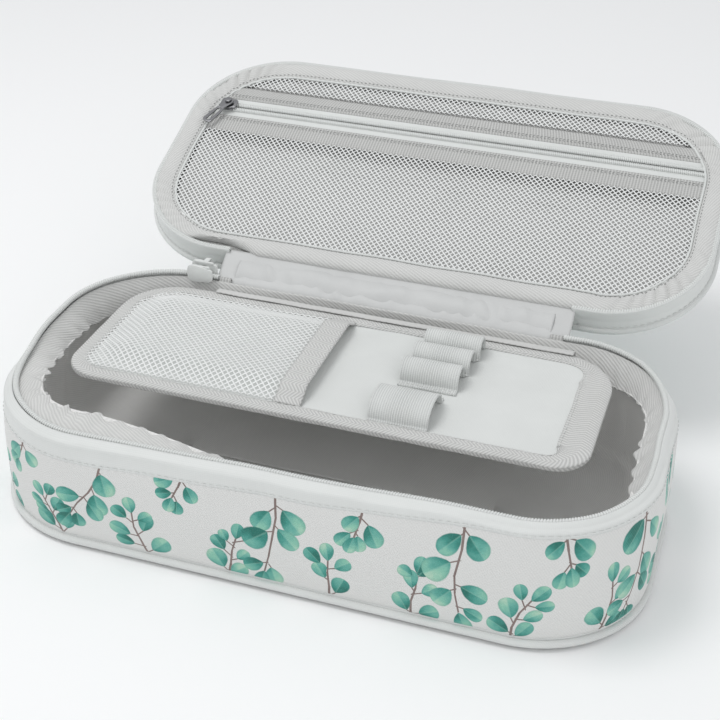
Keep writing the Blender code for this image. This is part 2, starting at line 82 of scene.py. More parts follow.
LID_OPEN = turned("lid_hinge", -joint("lid_hinge")["range_deg"][0])
LID_SHUT = LID_OPEN.inverted()
LID_BODIES = ("lid", "pocket_slider_body", "pocket_pull_body")


def metres(*lengths):
    """Lengths in millimetres as a tuple in metres."""
    return tuple(length * MM for length in lengths)


Point = namedtuple("Point", "x y z")


def in_mm(point):
    """A point given in metres."""
    return Point(*(value / MM for value in point))


def box_of(node):
    """A node's lowest and highest corners."""
    return tuple(in_mm(corner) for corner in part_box(node))


def shut_box(node):
    """A lid node's lowest and highest corners with the lid shut."""
    points = np.array([LID_SHUT @ v.co for v in frame["nodes"][node].data.vertices])
    return in_mm(points.min(axis=0)), in_mm(points.max(axis=0))


PIPING_OUT = 1.3  # the base piping stands this far out of the case's outline
HALF_X = box_of("base_piping")[1].x - PIPING_OUT
HALF_Y = box_of("base_piping")[1].y - PIPING_OUT
CORNER_R = 38.5
WALL_TOP = box_of("printed_wall")[1].z
FLOOR_Z = box_of("body_lining")[0].z
COIL_R = 1.1
COIL_INSET = 1.6
BODY_COIL_Z = box_of("body_zipper_coil")[1].z - COIL_R
LID_COIL_Z = shut_box("lid_zipper_coil")[0].z + COIL_R
LID_TOP = shut_box("lid_panel")[1].z
LID_LINING_Z = shut_box("lid_lining_panel")[0].z
POCKET_Z = sum(corner.z for corner in shut_box("pocket_mesh_main")) / 2
POCKET_ZIP_Y = (shut_box("pocket_coil_upper")[1].y + shut_box("pocket_coil_lower")[0].y) / 2
HINGE_HALF = box_of("hinge_strip_lower")[1].x
ZIP_END_X = HINGE_HALF + 5
FLAP_LOW, FLAP_HIGH = box_of("divider_panel")
FLAP_EDGE = 0.9  # the binding reaches this far past the divider's panel
FLAP_RADII = (20, 12, 12, 20)


class Plan:
    """A rounded rectangle seen from above, measured by length s from the middle of its back, left first."""

    def __init__(self, x_range, y_range, radii):
        """Radii are back left, front left, front right, back right."""
        (x0, x1), (y0, y1) = x_range, y_range
        bl, fl, fr, br = radii
        middle, middle_r = (x0 + x1) / 2, (bl + br) / 2
        left = [(x0 + bl, y1 - bl, bl), (x0 + fl, y0 + fl, fl)]
        right = [(x1 - fr, y0 + fr, fr), (x1 - br, y1 - br, br)]
        stops = [(middle, y1 - middle_r, middle_r)] + [c for c in left + right for _ in (0, 1)]
        stops.append(stops[0])
        self.cx, self.cy, self.r = (np.array(row, float) for row in zip(*stops))
        self.angle = np.radians([90, 90, 180, 180, 270, 270, 360, 360, 450, 450])
        straight = np.hypot(np.diff(self.cx), np.diff(self.cy))
        self.stops = np.concatenate([[0.0], np.cumsum(straight + self.r[:-1] * np.diff(self.angle))])
        self.length = self.stops[-1]

    def normal(self, s):
        """The way out at s."""
        angle = np.interp(np.mod(s, self.length), self.stops, self.angle)
        return np.cos(angle), np.sin(angle)

    def at(self, s, inset):
        """The point at s, moved in by inset."""
        s = np.mod(s, self.length)
        nx, ny = self.normal(s)
        reach = np.interp(s, self.stops, self.r) - inset
        x, y = np.interp(s, self.stops, self.cx), np.interp(s, self.stops, self.cy)
        return x + reach * nx, y + reach * ny

    def steps(self, count):
        """Even steps all round."""
        return np.arange(count) * self.length / count


CASE = Plan((-HALF_X, HALF_X), (-HALF_Y, HALF_Y), (CORNER_R,) * 4)
FLAP = Plan(
    (FLAP_LOW.x - FLAP_EDGE, FLAP_HIGH.x + FLAP_EDGE),
    (FLAP_LOW.y - FLAP_EDGE, FLAP_HIGH.y + FLAP_EDGE),
    FLAP_RADII,
)
RIGHT_END = CASE.stops[6] + 16  # s in the middle of the case's right end
LEFT_END = CASE.length - RIGHT_END
FRONT = CASE.length / 2
SLIDER_WAY = (CASE.stops[1] + CASE.stops[2]) / 2  # s in the middle of the main slider's travel
ALL_ROUND = CASE.steps(594)
ZIP_RUN = np.linspace(ZIP_END_X, CASE.length - ZIP_END_X, 464)
UP = np.array([0.0, 0.0, 1.0])

# ---------------------------------------------------------------- shapes


def smooth_step(x):
    """0 below 0, 1 above 1, and smooth between them."""
    x = np.clip(x, 0.0, 1.0)
    return x * x * (3 - 2 * x)


def near(s, centre, width, length=None):
    """1 at the centre, falling smoothly to 0 at width from it, round the case or another loop."""
    length = length or CASE.length
    gap = np.abs(np.mod(s - centre + length / 2, length) - length / 2)
    return smooth_step(1 - gap / width)


def waves(x, period, seed, length=None, terms=7):
    """Seeded noise along x, about -1 to 1, which repeats after the case's length or another."""
    length = length or CASE.length
    rng = np.random.default_rng(seed)
    total = np.zeros_like(x)
    for _ in range(terms):
        cycles = max(1, round(length / (period * rng.uniform(0.6, 1.7))))
        total += np.sin(2 * math.pi * cycles * x / length + rng.uniform(0, 2 * math.pi))
    return total * 1.5 / terms


def ripple(x, y, period, seed, terms=9):
    """Seeded noise over a plane, about -1 to 1."""
    rng = np.random.default_rng(seed)
    total = np.zeros(np.broadcast_shapes(np.shape(x), np.shape(y)))
    for _ in range(terms):
        turn = rng.uniform(0, 2 * math.pi)
        pace = 2 * math.pi / (period * rng.uniform(0.6, 1.7))
        total += np.sin(pace * (x * math.cos(turn) + y * math.sin(turn)) + rng.uniform(0, 2 * math.pi))
    return total * 1.5 / terms


def smooth_line(points, count):
    """A smooth curve through the points, in equal steps."""
    p = np.array(points, float)
    padded = np.vstack([2 * p[0] - p[1], p, 2 * p[-1] - p[-2]])
    t = np.linspace(0, len(p) - 1, 30 * len(p))
    i = np.clip(t.astype(int), 0, len(p) - 2)
    f = (t - i)[:, None]
    a, b, c, d = (padded[i + k] for k in range(4))
    fine = 0.5 * (2 * b + (c - a) * f + (2 * a - 5 * b + 4 * c - d) * f**2 + (3 * b - a - 3 * c + d) * f**3)
    return resample(fine, count)


def resample(path, count):
    """The path again, in count - 1 equal steps."""
    along = run(path)
    return sample(np.linspace(0, along[-1], count), along, path)


def sample(here, along, values):
    """Rows of values, known at lengths along, at the lengths here."""
    return np.stack([np.interp(here, along, values[:, k]) for k in range(values.shape[1])], axis=-1)


def run(path):
    """The length along a path at each of its points."""
    return np.concatenate([[0.0], np.cumsum(np.linalg.norm(np.diff(path, axis=0), axis=1))])


def columns(pairs):
    """Two columns from a list of pairs."""
    pairs = np.array(pairs, float)
    return pairs[:, :1], pairs[:, 1:]


def section(stations, count):
    """Columns of insets and heights along a smooth cross-section."""
    return columns(smooth_line(stations, count))


def stack(*values):
    """Coordinates of any matching shapes as points."""
    return np.stack(np.broadcast_arrays(*values), axis=-1)


def ring_grid(plan, s, inset, z):
    """Points at (inset, z) along s: inset and z hold one value for each row, or for each point."""
    s, inset, z = np.broadcast_arrays(s[None, :], inset, z)
    return stack(*plan.at(s, inset), z)


def disc_grid(plan, inset, rows, step=1.2):
    """A grid that fills a plan outline, from its edge to its middle line, as x and y."""
    x, y = plan.at(plan.steps(round(plan.length / step)), inset)
    (x0, x1), (y0, y1) = (x.min(), x.max()), (y.min(), y.max())
    half = (y1 - y0) / 2
    spine_x, spine_y = np.clip(x, x0 + half, x1 - half), (y0 + y1) / 2
    share = shares(rows)
    return x + share * (spine_x - x), y + share * (spine_y - y)


def shares(rows):
    """A column that runs from 0 to 1."""
    return np.linspace(0, 1, rows)[:, None]


def make_object(name, points, faces, uv=None):
    """A mesh object with smooth faces. Its points and its UV map turn to metres here."""
    mesh = bpy.data.meshes.new(name)
    mesh.from_pydata((np.asarray(points).reshape(-1, 3) * MM).tolist(), [], faces)
    if uv is not None:
        layer = mesh.uv_layers.new(name="Cloth")
        layer.data.foreach_set("uv", (uv * MM).astype(np.float32).ravel())
    mesh.shade_smooth()
    obj = bpy.data.objects.new(name, mesh)
    bpy.context.scene.collection.objects.link(obj)
    return obj


def mean_run(points, axis):
    """The mean length along one axis of a grid."""
    steps = np.linalg.norm(np.diff(points, axis=axis), axis=-1).mean(axis=1 - axis)
    return np.concatenate([[0.0], np.cumsum(steps)])


def corners(grid):
    """The four corners of each of a grid's cells."""
    cells = [grid[:-1, :-1], grid[:-1, 1:], grid[1:, 1:], grid[1:, :-1]]
    return np.stack(cells, axis=2).reshape(-1, 4, *grid.shape[2:])


def surface(name, points, wrap_u=False, wrap_v=False, flat_uv=False):
    """A grid of points as cloth. u runs along its columns and v along its rows; flat_uv takes x and y."""
    rows, cols = points.shape[:2]
    ring_u, ring_v = np.arange(cols + wrap_u) % cols, np.arange(rows + wrap_v) % rows
    spread = points[ring_v][:, ring_u]
    uv = spread[..., :2]
    if not flat_uv:
        uv = np.stack(np.meshgrid(mean_run(spread, 1), mean_run(spread, 0)), axis=-1)
    index = ring_v[:, None] * cols + ring_u[None, :]
    return make_object(name, points, corners(index).tolist(), corners(uv))


def sheet_over(name, x, y, z):
    """A disc grid with its heights as cloth."""
    return surface(name, stack(x, y, z), wrap_u=True, flat_uv=True)


def tube(name, path, side, radius, sides=8, closed=False):
    """A round cord along a path; side holds a direction across it at each point."""
    ahead = np.roll(path, -1, axis=0) - np.roll(path, 1, axis=0)
    if not closed:
        ahead[0], ahead[-1] = path[1] - path[0], path[-1] - path[-2]
    ahead /= np.linalg.norm(ahead, axis=1, keepdims=True)
    side = side - ahead * (side * ahead).sum(axis=1, keepdims=True)
    side /= np.linalg.norm(side, axis=1, keepdims=True)
    turn = -2 * math.pi * np.arange(sides)[:, None, None] / sides
    round_it = np.cos(turn) * side + np.sin(turn) * np.cross(ahead, side)
    return surface(name, path + radius * round_it, wrap_u=closed, wrap_v=True)


def coil(name, path, side, pitch, radii, wire, turn_points=9):
    """A zip's nylon coil: one long flattened helix round a path, with a cord through it."""
    along = run(path)
    here = np.linspace(0, along[-1], int(along[-1] / pitch * turn_points))
    turn = (2 * math.pi * here / pitch)[:, None]
    out = sample(here, along, side) * radii[0] * np.cos(turn) + UP * radii[1] * np.sin(turn)
    helix = tube(name, sample(here, along, path) + out, out, wire, sides=6)
    return joined(helix, tube(name + "_core", path, side, radii[1] * 1.05))


def stitches(name, path, normal, pitch, long, radius, skew=0.0, sides=6):
    """A row of sewing stitches lying on cloth: each dips into it at both ends."""
    along = run(path)
    stations = np.array([0.0, 0.25, 0.75, 1.0])
    lift = np.array([-0.6, 0.35, 0.35, -0.6]) * radius
    width = np.array([0.35, 1.0, 1.0, 0.35]) * radius
    here = np.arange(pitch / 2, along[-1] - long, pitch)[:, None] + stations * long
    centre, up = (
        np.stack([np.interp(here, along, values[:, k]) for k in range(3)], axis=-1)
        for values in (path, np.broadcast_to(normal, path.shape))
    )
    ahead = (centre[:, -1] - centre[:, 0])[:, None]
    side = np.cross(up, ahead / np.linalg.norm(ahead, axis=-1, keepdims=True))
    centre = centre + up * lift[:, None] + side * (skew * (stations - 0.5))[:, None]
    turn = 2 * math.pi * np.arange(sides)[:, None] / sides
    ring = np.cos(turn) * side[:, :, None] + np.sin(turn) * up[:, :, None]
    points = centre[:, :, None] + ring * width[:, None, None]
    ids = np.arange(points.size // 3).reshape(points.shape[:3])
    nxt = np.roll(ids, -1, axis=2)
    quads = np.stack([ids[:, :-1], nxt[:, :-1], nxt[:, 1:], ids[:, 1:]], axis=-1).reshape(-1, 4)
    caps = [c for stitch in ids for c in (stitch[0][::-1].tolist(), stitch[-1].tolist())]
    return make_object(name, points, quads.tolist() + caps)


def net(name, inside, place, cell, strand):
    """Knitted netting of diamond holes over the plane cells where inside(x, y) is true.

    Each cell is a ring of quads from the strands' raised middle line down to a rounded hole. place
    turns plane points and a height above the net's middle into points in the frame.
    """
    spans = [
        np.arange(math.floor(2 * low / size), math.ceil(2 * high / size) + 1)
        for (low, high), size in zip(inside.box, cell)
    ]
    i, j = (grid.ravel() for grid in np.meshgrid(*spans))
    keep = ((i + j) % 2 == 0) & inside(i * cell[0] / 2, j * cell[1] / 2)
    centre = np.stack([i[keep], j[keep]], axis=-1) * 2  # in quarter cells
    rim = np.array([(2, 0), (1, 1), (0, 2), (-1, 1), (-2, 0), (-1, -1), (0, -2), (1, -1)])
    size = np.array(cell) / 4
    length = np.linalg.norm(rim * size, axis=1)
    shrink = 1 - np.where(np.arange(8) % 2 == 0, 1.35, 0.95) * strand / 2 / (length * 0.9)
    inner = (centre[:, None] + rim * shrink[:, None]) * size
    keys, shared = np.unique((centre[:, None] + rim).reshape(-1, 2), axis=0, return_inverse=True)
    shared = shared.reshape(-1, 8)
    own = len(keys) + np.arange(shared.size).reshape(-1, 8)
    quads = np.stack([shared, np.roll(shared, -1, 1), np.roll(own, -1, 1), own], axis=-1).reshape(-1, 4)
    flat = np.vstack([keys * size, inner.reshape(-1, 2)])
    height = np.concatenate([np.full(len(keys), strand * 0.35), np.full(shared.size, -strand * 0.1)])
    return make_object(name, place(flat[:, 0], flat[:, 1], height), quads.tolist(), flat[quads])


def reworked(obj, action):
    """Run a bmesh action on an object's mesh."""
    bm = bmesh.new()
    bm.from_mesh(obj.data)
    action(bm)
    bm.to_mesh(obj.data)
    bm.free()
    return obj


def joined(obj, other):
    """Two objects' meshes in the first one."""
    reworked(obj, lambda bm: bm.from_mesh(other.data))
    bpy.data.objects.remove(other)
    return obj


def weld(obj):
    """Join the points of a disc grid that meet on its middle line."""
    reworked(obj, lambda bm: bmesh.ops.remove_doubles(bm, verts=bm.verts, dist=0.02 * MM))
    obj.data.shade_smooth()
    return obj


def thicken(obj, thickness, offset=-1.0):
    """Give a cloth its thickness, by default behind its face."""
    solid = obj.modifiers.new("Thickness", "SOLIDIFY")
    solid.thickness = thickness * MM
    solid.offset = offset
    return obj


def piece(obj, material, body, slot, *nodes):
    """Paint a piece, turn it open if it is on the lid, let it ride on a body and stand for CAD nodes."""
    if body in LID_BODIES:
        obj.data.transform(LID_OPEN)
    obj.data.materials.clear()
    obj.data.materials.append(material)
    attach(obj, body)
    if nodes:
        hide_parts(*nodes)
    return obj


def bent(obj, material, nodes):
    """Paint a cloth that spans from one body to another, bake its place in and hide the CAD nodes it stands
    for.
    """
    obj.data.materials.append(material)
    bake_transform(obj)
    if nodes:
        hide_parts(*nodes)


# ---------------------------------------------------------------- materials


class Paint:
    """A Principled material, with short calls for the nodes that feed it."""

    def __init__(self, name, roughness, **sockets):
        self.material = bpy.data.materials.new(name)
        self.material.use_nodes = True
        self.tree = self.material.node_tree
        self.inputs = self.tree.nodes["Principled BSDF"].inputs
        self.inputs["Roughness"].default_value = roughness
        for socket, value in sockets.items():
            self.inputs[socket.replace("_", " ")].default_value = value

    def node(self, kind, **inputs):
        """A node with its inputs set to values or linked to sockets."""
        made = self.tree.nodes.new("ShaderNode" + kind)
        for name, value in inputs.items():
            self.feed(made.inputs[name.replace("_", " ")], value)
        return made

    def feed(self, socket, value):
        """Link a socket, or set its value."""
        if isinstance(value, bpy.types.NodeSocket):
            self.tree.links.new(value, socket)
        else:
            socket.default_value = value

    def math(self, operation, a, b=0.0):
        """A Math node's result."""
        made = self.tree.nodes.new("ShaderNodeMath")
        made.operation = operation
        self.feed(made.inputs[0], a)
        self.feed(made.inputs[1], b)
        return made.outputs[0]

    def add(self, a, b):
        """The sum of two sockets or numbers."""
        return self.math("ADD", a, b)

    def times(self, a, b):
        """The product of two sockets or numbers."""
        return self.math("MULTIPLY", a, b)

    def mix(self, share, a, b, how="MIX"):
        """Two colours mixed by share."""
        made = self.tree.nodes.new("ShaderNodeMix")
        made.data_type = "RGBA"
        made.blend_type = how
        for socket, value in (("Factor", share), ("A", a), ("B", b)):
            self.feed(made.inputs[socket], value)
        return made.outputs["Result"]

    def ramp(self, value, stops):
        """A colour ramp over (place, colour) stops."""
        made = self.node("ValToRGB", Fac=value)
        band = made.color_ramp
        for place, colour in stops[1:-1]:
            band.elements.new(place).color = (*colour, 1)
        for end in (0, -1):
            band.elements[end].position = stops[end][0]
            band.elements[end].color = (*stops[end][1], 1)
        return made.outputs["Color"]

    def between(self, value, low, high, first, last):
        """Map value from low to high onto first to last."""
        made = self.node("MapRange", Value=value, From_Min=low, From_Max=high, To_Min=first, To_Max=last)
        return made.outputs["Result"]

    def cloth_place(self):
        """The cloth's own u and v, in metres."""
        made = self.tree.nodes.new("ShaderNodeUVMap")
        made.uv_map = "Cloth"
        parts = self.node("SeparateXYZ", Vector=made.outputs["UV"])
        return parts.outputs["X"], parts.outputs["Y"]

    def attribute(self, name):
        """The three parts of an attribute."""
        made = self.tree.nodes.new("ShaderNodeAttribute")
        made.attribute_name = name
        parts = self.node("SeparateXYZ", Vector=made.outputs["Vector"])
        return [parts.outputs[k] for k in "XYZ"]

    def on_object(self, kind, output, **inputs):
        """A texture over the object, in features of 1 / Scale metres."""
        place = self.node("TexCoord").outputs["Object"]
        return self.node(kind, Vector=place, **inputs).outputs[output]

    def noise(self, scale, detail=3.0):
        """Noise over the object, 0 to 1."""
        return self.on_object("TexNoise", "Fac", Scale=scale, Detail=detail)

    def ridges(self, u, v, pitch, degrees, weight):
        """Parallel ridges over the cloth, 0 to weight; at 0 degrees they cross u. The pitch is in mm."""
        turn = math.radians(degrees)
        across = self.add(self.times(u, math.cos(turn)), self.times(v, math.sin(turn)))
        wave = self.math("SINE", self.times(across, 2 * math.pi / (pitch * MM)))
        return self.times(self.add(self.times(wave, 0.5), 0.5), weight)

    def bump(self, height, depth, strength=1.0):
        """Bump from a 0 to 1 height, depth millimetres deep."""
        made = self.node("Bump", Height=height, Distance=depth * MM, Strength=strength)
        self.tree.links.new(made.outputs["Normal"], self.inputs["Normal"])

    def base(self, colour):
        """Feed the base colour."""
        self.feed(self.inputs["Base Color"], colour)


def shade(colour, share):
    """A colour times a share, as a node's colour."""
    return (*[c * share for c in colour], 1.0)


def cloth(name, colour, ribs, depth, groove_shade, roughness=0.85, sheen=0.15, mottle=0.05, chevron=0.0):
    """Woven cloth: ribs are (pitch, degrees, weight) sets of ridges; between them the colour is darkened by a
    given share, painted shade in the weave's grooves.

    With a chevron width, the ridges turn back on themselves each such width across the cloth.
    """
    paint = Paint(name, roughness, Sheen_Weight=sheen, Sheen_Roughness=0.4)
    u, v = paint.cloth_place()
    if chevron:
        v = paint.math("PINGPONG", v, chevron * MM)
    height = 0.0
    for rib in ribs:
        height = paint.add(paint.ridges(u, v, *rib), height)
    height = paint.add(height, paint.times(paint.noise(2600.0, 2.0), 0.35))  # fuzz
    spots = paint.add(paint.times(paint.noise(70.0), mottle * 2), 1.0 - mottle * 1.5)
    spots = paint.node("CombineColor", Red=spots, Green=spots, Blue=spots).outputs[0]
    # painted shade: the colour is darkened in the grooves between the ridges
    woven = paint.mix(height, shade(colour, groove_shade), shade(colour, 1.0))
    paint.base(paint.mix(1.0, woven, spots, "MULTIPLY"))
    paint.bump(height, depth)
    return paint.material


# A leaf's half width is LEAF_FULL * along^LEAF_NECK * (1 - along)^LEAF_TIP.
LEAF_NECK, LEAF_TIP, LEAF_FULL = 0.75, 0.48, 2.2
LEAF_LAYERS = ("leaf_low", "leaf_mid", "leaf_top")
STEM_LAYERS = ("stem", "twig")
LEAF_COLOURS = (
    (0.0, (0.010, 0.160, 0.125)),
    (0.28, (0.045, 0.290, 0.240)),
    (0.52, (0.130, 0.420, 0.350)),
    (0.80, (0.260, 0.560, 0.430)),
    (1.0, (0.420, 0.640, 0.500)),
)
LEAF_RIB = (0.30, 0.55, 0.46, 1.0)
LEAF_EDGE = (0.020, 0.180, 0.160, 1.0)
STEM_DARK = (0.150, 0.110, 0.100, 1.0)
STEM_PALE = (0.300, 0.230, 0.210, 1.0)


def leaf_layer(paint, layer, under):
    """Paint one layer of leaves over a colour, from the (along, across, tone) attribute of that name."""
    along, across, tone = paint.attribute(layer)
    wide = paint.math("POWER", paint.math("SUBTRACT", 1.0, along), LEAF_TIP)
    wide = paint.times(paint.times(wide, paint.math("POWER", along, LEAF_NECK)), LEAF_FULL)
    away = paint.math("ABSOLUTE", across)
    wobble = paint.times(paint.math("SUBTRACT", paint.noise(420.0), 0.5), 0.12)
    inside = paint.add(paint.math("SUBTRACT", wide, away), wobble)
    wash = paint.times(paint.math("SUBTRACT", paint.noise(240.0, 5.0), 0.5), 0.85)
    side = paint.between(across, -0.05, 0.05, -0.02, 0.24)
    place = paint.add(paint.add(paint.times(along, 0.62), wash), paint.add(side, tone))
    colour = paint.ramp(place, LEAF_COLOURS)
    colour = paint.mix(paint.between(away, 0.03, 0.09, 0.30, 0.0), colour, LEAF_RIB)
    colour = paint.mix(paint.between(inside, 0.05, 0.35, 0.30, 0.0), colour, LEAF_EDGE)
    return paint.mix(paint.between(inside, 0.0, 0.10, 0.0, 1.0), under, colour)


def stem_layer(paint, layer, under):
    """Paint stems over a colour, from their (along, across, tone) attribute."""
    away = paint.math("ABSOLUTE", paint.attribute(layer)[1])
    colour = paint.mix(paint.noise(300.0), STEM_DARK, STEM_PALE)
    return paint.mix(paint.between(away, 0.75, 1.0, 1.0, 0.0), under, colour)


PRINT_WHITE = (0.740, 0.740, 0.725)
WHITE = (0.740, 0.755, 0.740)
TWILL_WHITE = (0.690, 0.690, 0.675)
RIBBON_WHITE = (0.600, 0.600, 0.585)
SATIN_WHITE = (0.600, 0.605, 0.600)
# painted light: the body's lining is a lighter white than the case's own, to brighten its shaded inside
LINING_WHITE_LIFTED_AS_PAINTED_LIGHT = (0.840, 0.835, 0.820)
NET_WHITE = (0.900, 0.910, 0.900)
# painted shade: the lid's lining behind the pocket net is a darker copy of the lining cloth, for the shade
# behind the net
LID_LINING_SHADED_GREY = (0.560, 0.560, 0.550)
NICKEL_GREY = (0.30, 0.30, 0.31)
BOARD_GREYS = ((0.40, 0.40, 0.39, 1), (0.48, 0.48, 0.47, 1))
FOAM_GREYS_WITH_PORE_SHADE = ((0.30, 0.30, 0.30, 1), (0.60, 0.60, 0.58, 1))
FLOOR_WHITE = (0.96, 0.96, 0.96)


def printed_cloth():
    """Off-white cloth with a fine slanted emboss, painted shade in the emboss's grooves, and the leaf print.
    """
    paint = Paint("printed cloth", 0.62, Sheen_Weight=0.1, Sheen_Roughness=0.4)
    u, v = paint.cloth_place()
    height = paint.add(paint.ridges(u, v, 0.75, 38, 0.6), paint.ridges(u, v, 0.80, -52, 0.4))
    # painted shade: the colour darkens in the emboss's grooves
    colour = paint.mix(height, shade(PRINT_WHITE, 0.91), shade(PRINT_WHITE, 1.03))
    colour = paint.mix(paint.noise(40.0), colour, shade(PRINT_WHITE, 0.97))
    for layer in STEM_LAYERS:
        colour = stem_layer(paint, layer, colour)
    for layer in LEAF_LAYERS:
        colour = leaf_layer(paint, layer, colour)
    paint.base(colour)
    paint.bump(height, 0.09)
    return paint.material


def speckled(name, roughness, scale, colours, depth, strength=1.0, detail=3.0, **sockets):
    """A material that noise mottles between two colours and lifts by depth."""
    paint = Paint(name, roughness, **sockets)
    spots = paint.noise(scale, detail)
    paint.base(paint.mix(spots, *colours))
    paint.bump(spots, depth, strength)
    return paint


def whites(low, high):
    """Two shades of the case's white."""
    return shade(WHITE, low), shade(WHITE, high)


def nickel():
    """Plated metal with fine polishing marks."""
    colours = shade(NICKEL_GREY, 0.75), shade(NICKEL_GREY, 1.1)
    rough = 0.30
    paint = speckled("dark nickel", rough, 5200.0, colours, 0.01, 0.4, 4.0, Metallic=1.0)
    worn = paint.between(paint.noise(900.0), 0.0, 1.0, rough * 0.8, rough * 1.3)
    paint.feed(paint.inputs["Roughness"], worn)
    return paint.material


def thread(name, share):
    """Twisted sewing thread in a share of the case's white."""
    colours = whites(0.8 * share, 1.05 * share)
    return speckled(name, 0.6, 4000.0, colours, 0.05, detail=2.0, Sheen_Weight=0.2).material


def foam():
    """Open-cell foam, with painted shade in its pores."""
    paint = Paint("foam", 0.95)
    holes = paint.on_object("TexVoronoi", "Distance", Scale=1400.0)
    # painted shade: the pores are darker than the foam's struts
    paint.base(paint.mix(holes, *FOAM_GREYS_WITH_PORE_SHADE))
    paint.bump(holes, 0.3)
    return paint.material


LINING_RIBS = [(0.7, 55, 0.8), (0.5, -35, 0.2)]

PRINTED = printed_cloth()
PLAIN = cloth("plain cloth", WHITE, [(0.5, 0, 0.5), (0.5, 90, 0.5)], 0.04, 0.92)
CORD = cloth("piping cloth", WHITE, [(0.6, 35, 1.0)], 0.05, 0.92, 0.7)
TWILL = cloth("ribbed twill", TWILL_WHITE, [(1.0, 62, 0.85), (0.5, -20, 0.15)], 0.13, 0.80)
# the body's lining cloth, in a white lightened as painted light
LINING = cloth("lining cloth", LINING_WHITE_LIFTED_AS_PAINTED_LIGHT, LINING_RIBS, 0.07, 0.88)
# a darker copy of the lining cloth, painted shade behind the pocket net
LID_LINING = cloth("lid lining cloth in painted shade", LID_LINING_SHADED_GREY, LINING_RIBS, 0.07, 0.88)
TAPE = cloth("zip tape", WHITE, [(0.55, 90, 0.6), (0.6, 0, 0.4)], 0.035, 0.94, 0.6)
SATIN = cloth("satin", SATIN_WHITE, [(0.3, 0, 1.0)], 0.01, 0.97, 0.5, sheen=0.1)
NET = cloth("net yarn", NET_WHITE, [(0.25, 45, 0.5), (0.25, -45, 0.5)], 0.03, 0.90, 0.6)
GROSGRAIN = cloth("grosgrain", RIBBON_WHITE, [(1.15, 0, 0.75), (1.0, 90, 0.25)], 0.20, 0.58)
BINDING = cloth("chevron binding", TWILL_WHITE, [(1.0, 40, 0.9), (0.45, -50, 0.1)], 0.18, 0.68, chevron=2.6)
ELASTIC = cloth("ribbed elastic", WHITE, [(0.85, 0, 0.8), (0.6, 90, 0.2)], 0.16, 0.70)
NYLON = speckled("nylon", 0.38, 1500.0, whites(0.93, 1.04), 0.03, 0.5).material
ENAMEL = speckled("white enamel", 0.28, 600.0, whites(0.93, 1.02), 0.04, 0.5, Coat_Weight=0.3).material
# painted shade: the second thread is a darker copy, standing for the shade in needle holes along the lid's
# band and the pocket's grosgrain
THREAD, SHADED_THREAD = thread("thread", 1.0), thread("thread in painted needle-hole shade", 0.35)
NICKEL, FOAM = nickel(), foam()
BOARD = speckled("board", 0.8, 400.0, BOARD_GREYS, 0.05).material

# ---------------------------------------------------------------- the leaf print

SPRIG_REPEAT = 60
SPRIG_ROWS = 40
SPRIG_KINDS = (  # place in the repeat, whether it hangs, pairs of leaves, size
    (0.0, True, 4, 10.4),
    (0.27, False, 3, 8.6),
    (0.5, True, 2, 8.0),
    (0.75, False, 3, 8.0),
)
STEM_HALF, TWIG_HALF = 0.45, 0.26  # half widths


def heading_to(angle):
    """The unit vector at an angle."""
    return np.array([math.cos(angle), math.sin(angle)])


def sprig(rng, at, heading, pairs, size):
    """One sprig: pairs of round leaves along a stem. Gives its leaves, stems and twigs."""
    leaves, stems, twigs = [], [], []
    at = np.array(at, float)
    for k in range(pairs):
        grown = size * (1 - 0.35 * k / pairs)
        to = at + grown * rng.uniform(0.75, 0.95) * heading_to(heading)
        stems.append((at, to, STEM_HALF * (1 - 0.4 * k / pairs)))
        for side in (-1, 1):
            if rng.random() < 0.10:  # a leaf is missing here and there
                continue
            angle = heading + side * rng.uniform(0.75, 1.25)
            start = at + rng.uniform(0.25, 0.75) * (to - at)
            base = start + rng.uniform(0.8, 3.2) * heading_to(angle)
            twigs.append((start, base, TWIG_HALF))
            long = grown * rng.uniform(0.78, 1.05)
            angle = angle - side * rng.uniform(0.0, 0.5)
            leaves.append((base, angle, long, long * rng.uniform(0.38, 0.50), rng.uniform(-0.25, 0.25)))
        at, heading = to, heading + rng.uniform(-0.28, 0.28)
    leaves.append((at, heading, size * 0.8, size * 0.30, rng.uniform(-0.2, 0.2)))
    return leaves, stems, twigs


def sprigs(seed, x_range, low, high):
    """Sprigs across a strip of cloth: in each repeat two that hang and two that rise between them."""
    rng = np.random.default_rng(seed)
    parts = ([], [], [])
    width = x_range[1] - x_range[0]
    count = round(width / SPRIG_REPEAT)
    for row, top in enumerate(np.arange(high, low, -SPRIG_ROWS)):
        for k in range(count):
            for place, hangs, pairs, size in SPRIG_KINDS:
                x = x_range[0] + (k + place + 0.5 * (row % 2)) * width / count + rng.uniform(-2, 2)
                y = top + rng.uniform(0, 3) if hangs else top - SPRIG_ROWS + rng.uniform(1, 4)
                heading = math.pi / 2 * (-1 if hangs else 1) + rng.uniform(-0.35, 0.35)
                for whole, some in zip(parts, sprig(rng, (x, y), heading, pairs, size)):
                    whole.extend(some)
    return parts


def local(spots, base, angle, long, half):
    """Where spots lie along a leaf or stem, in its lengths, and across it, in its half widths."""
    ahead = heading_to(angle)
    away = spots - base
    return away @ ahead / long, away @ np.array([-ahead[1], ahead[0]]) / half


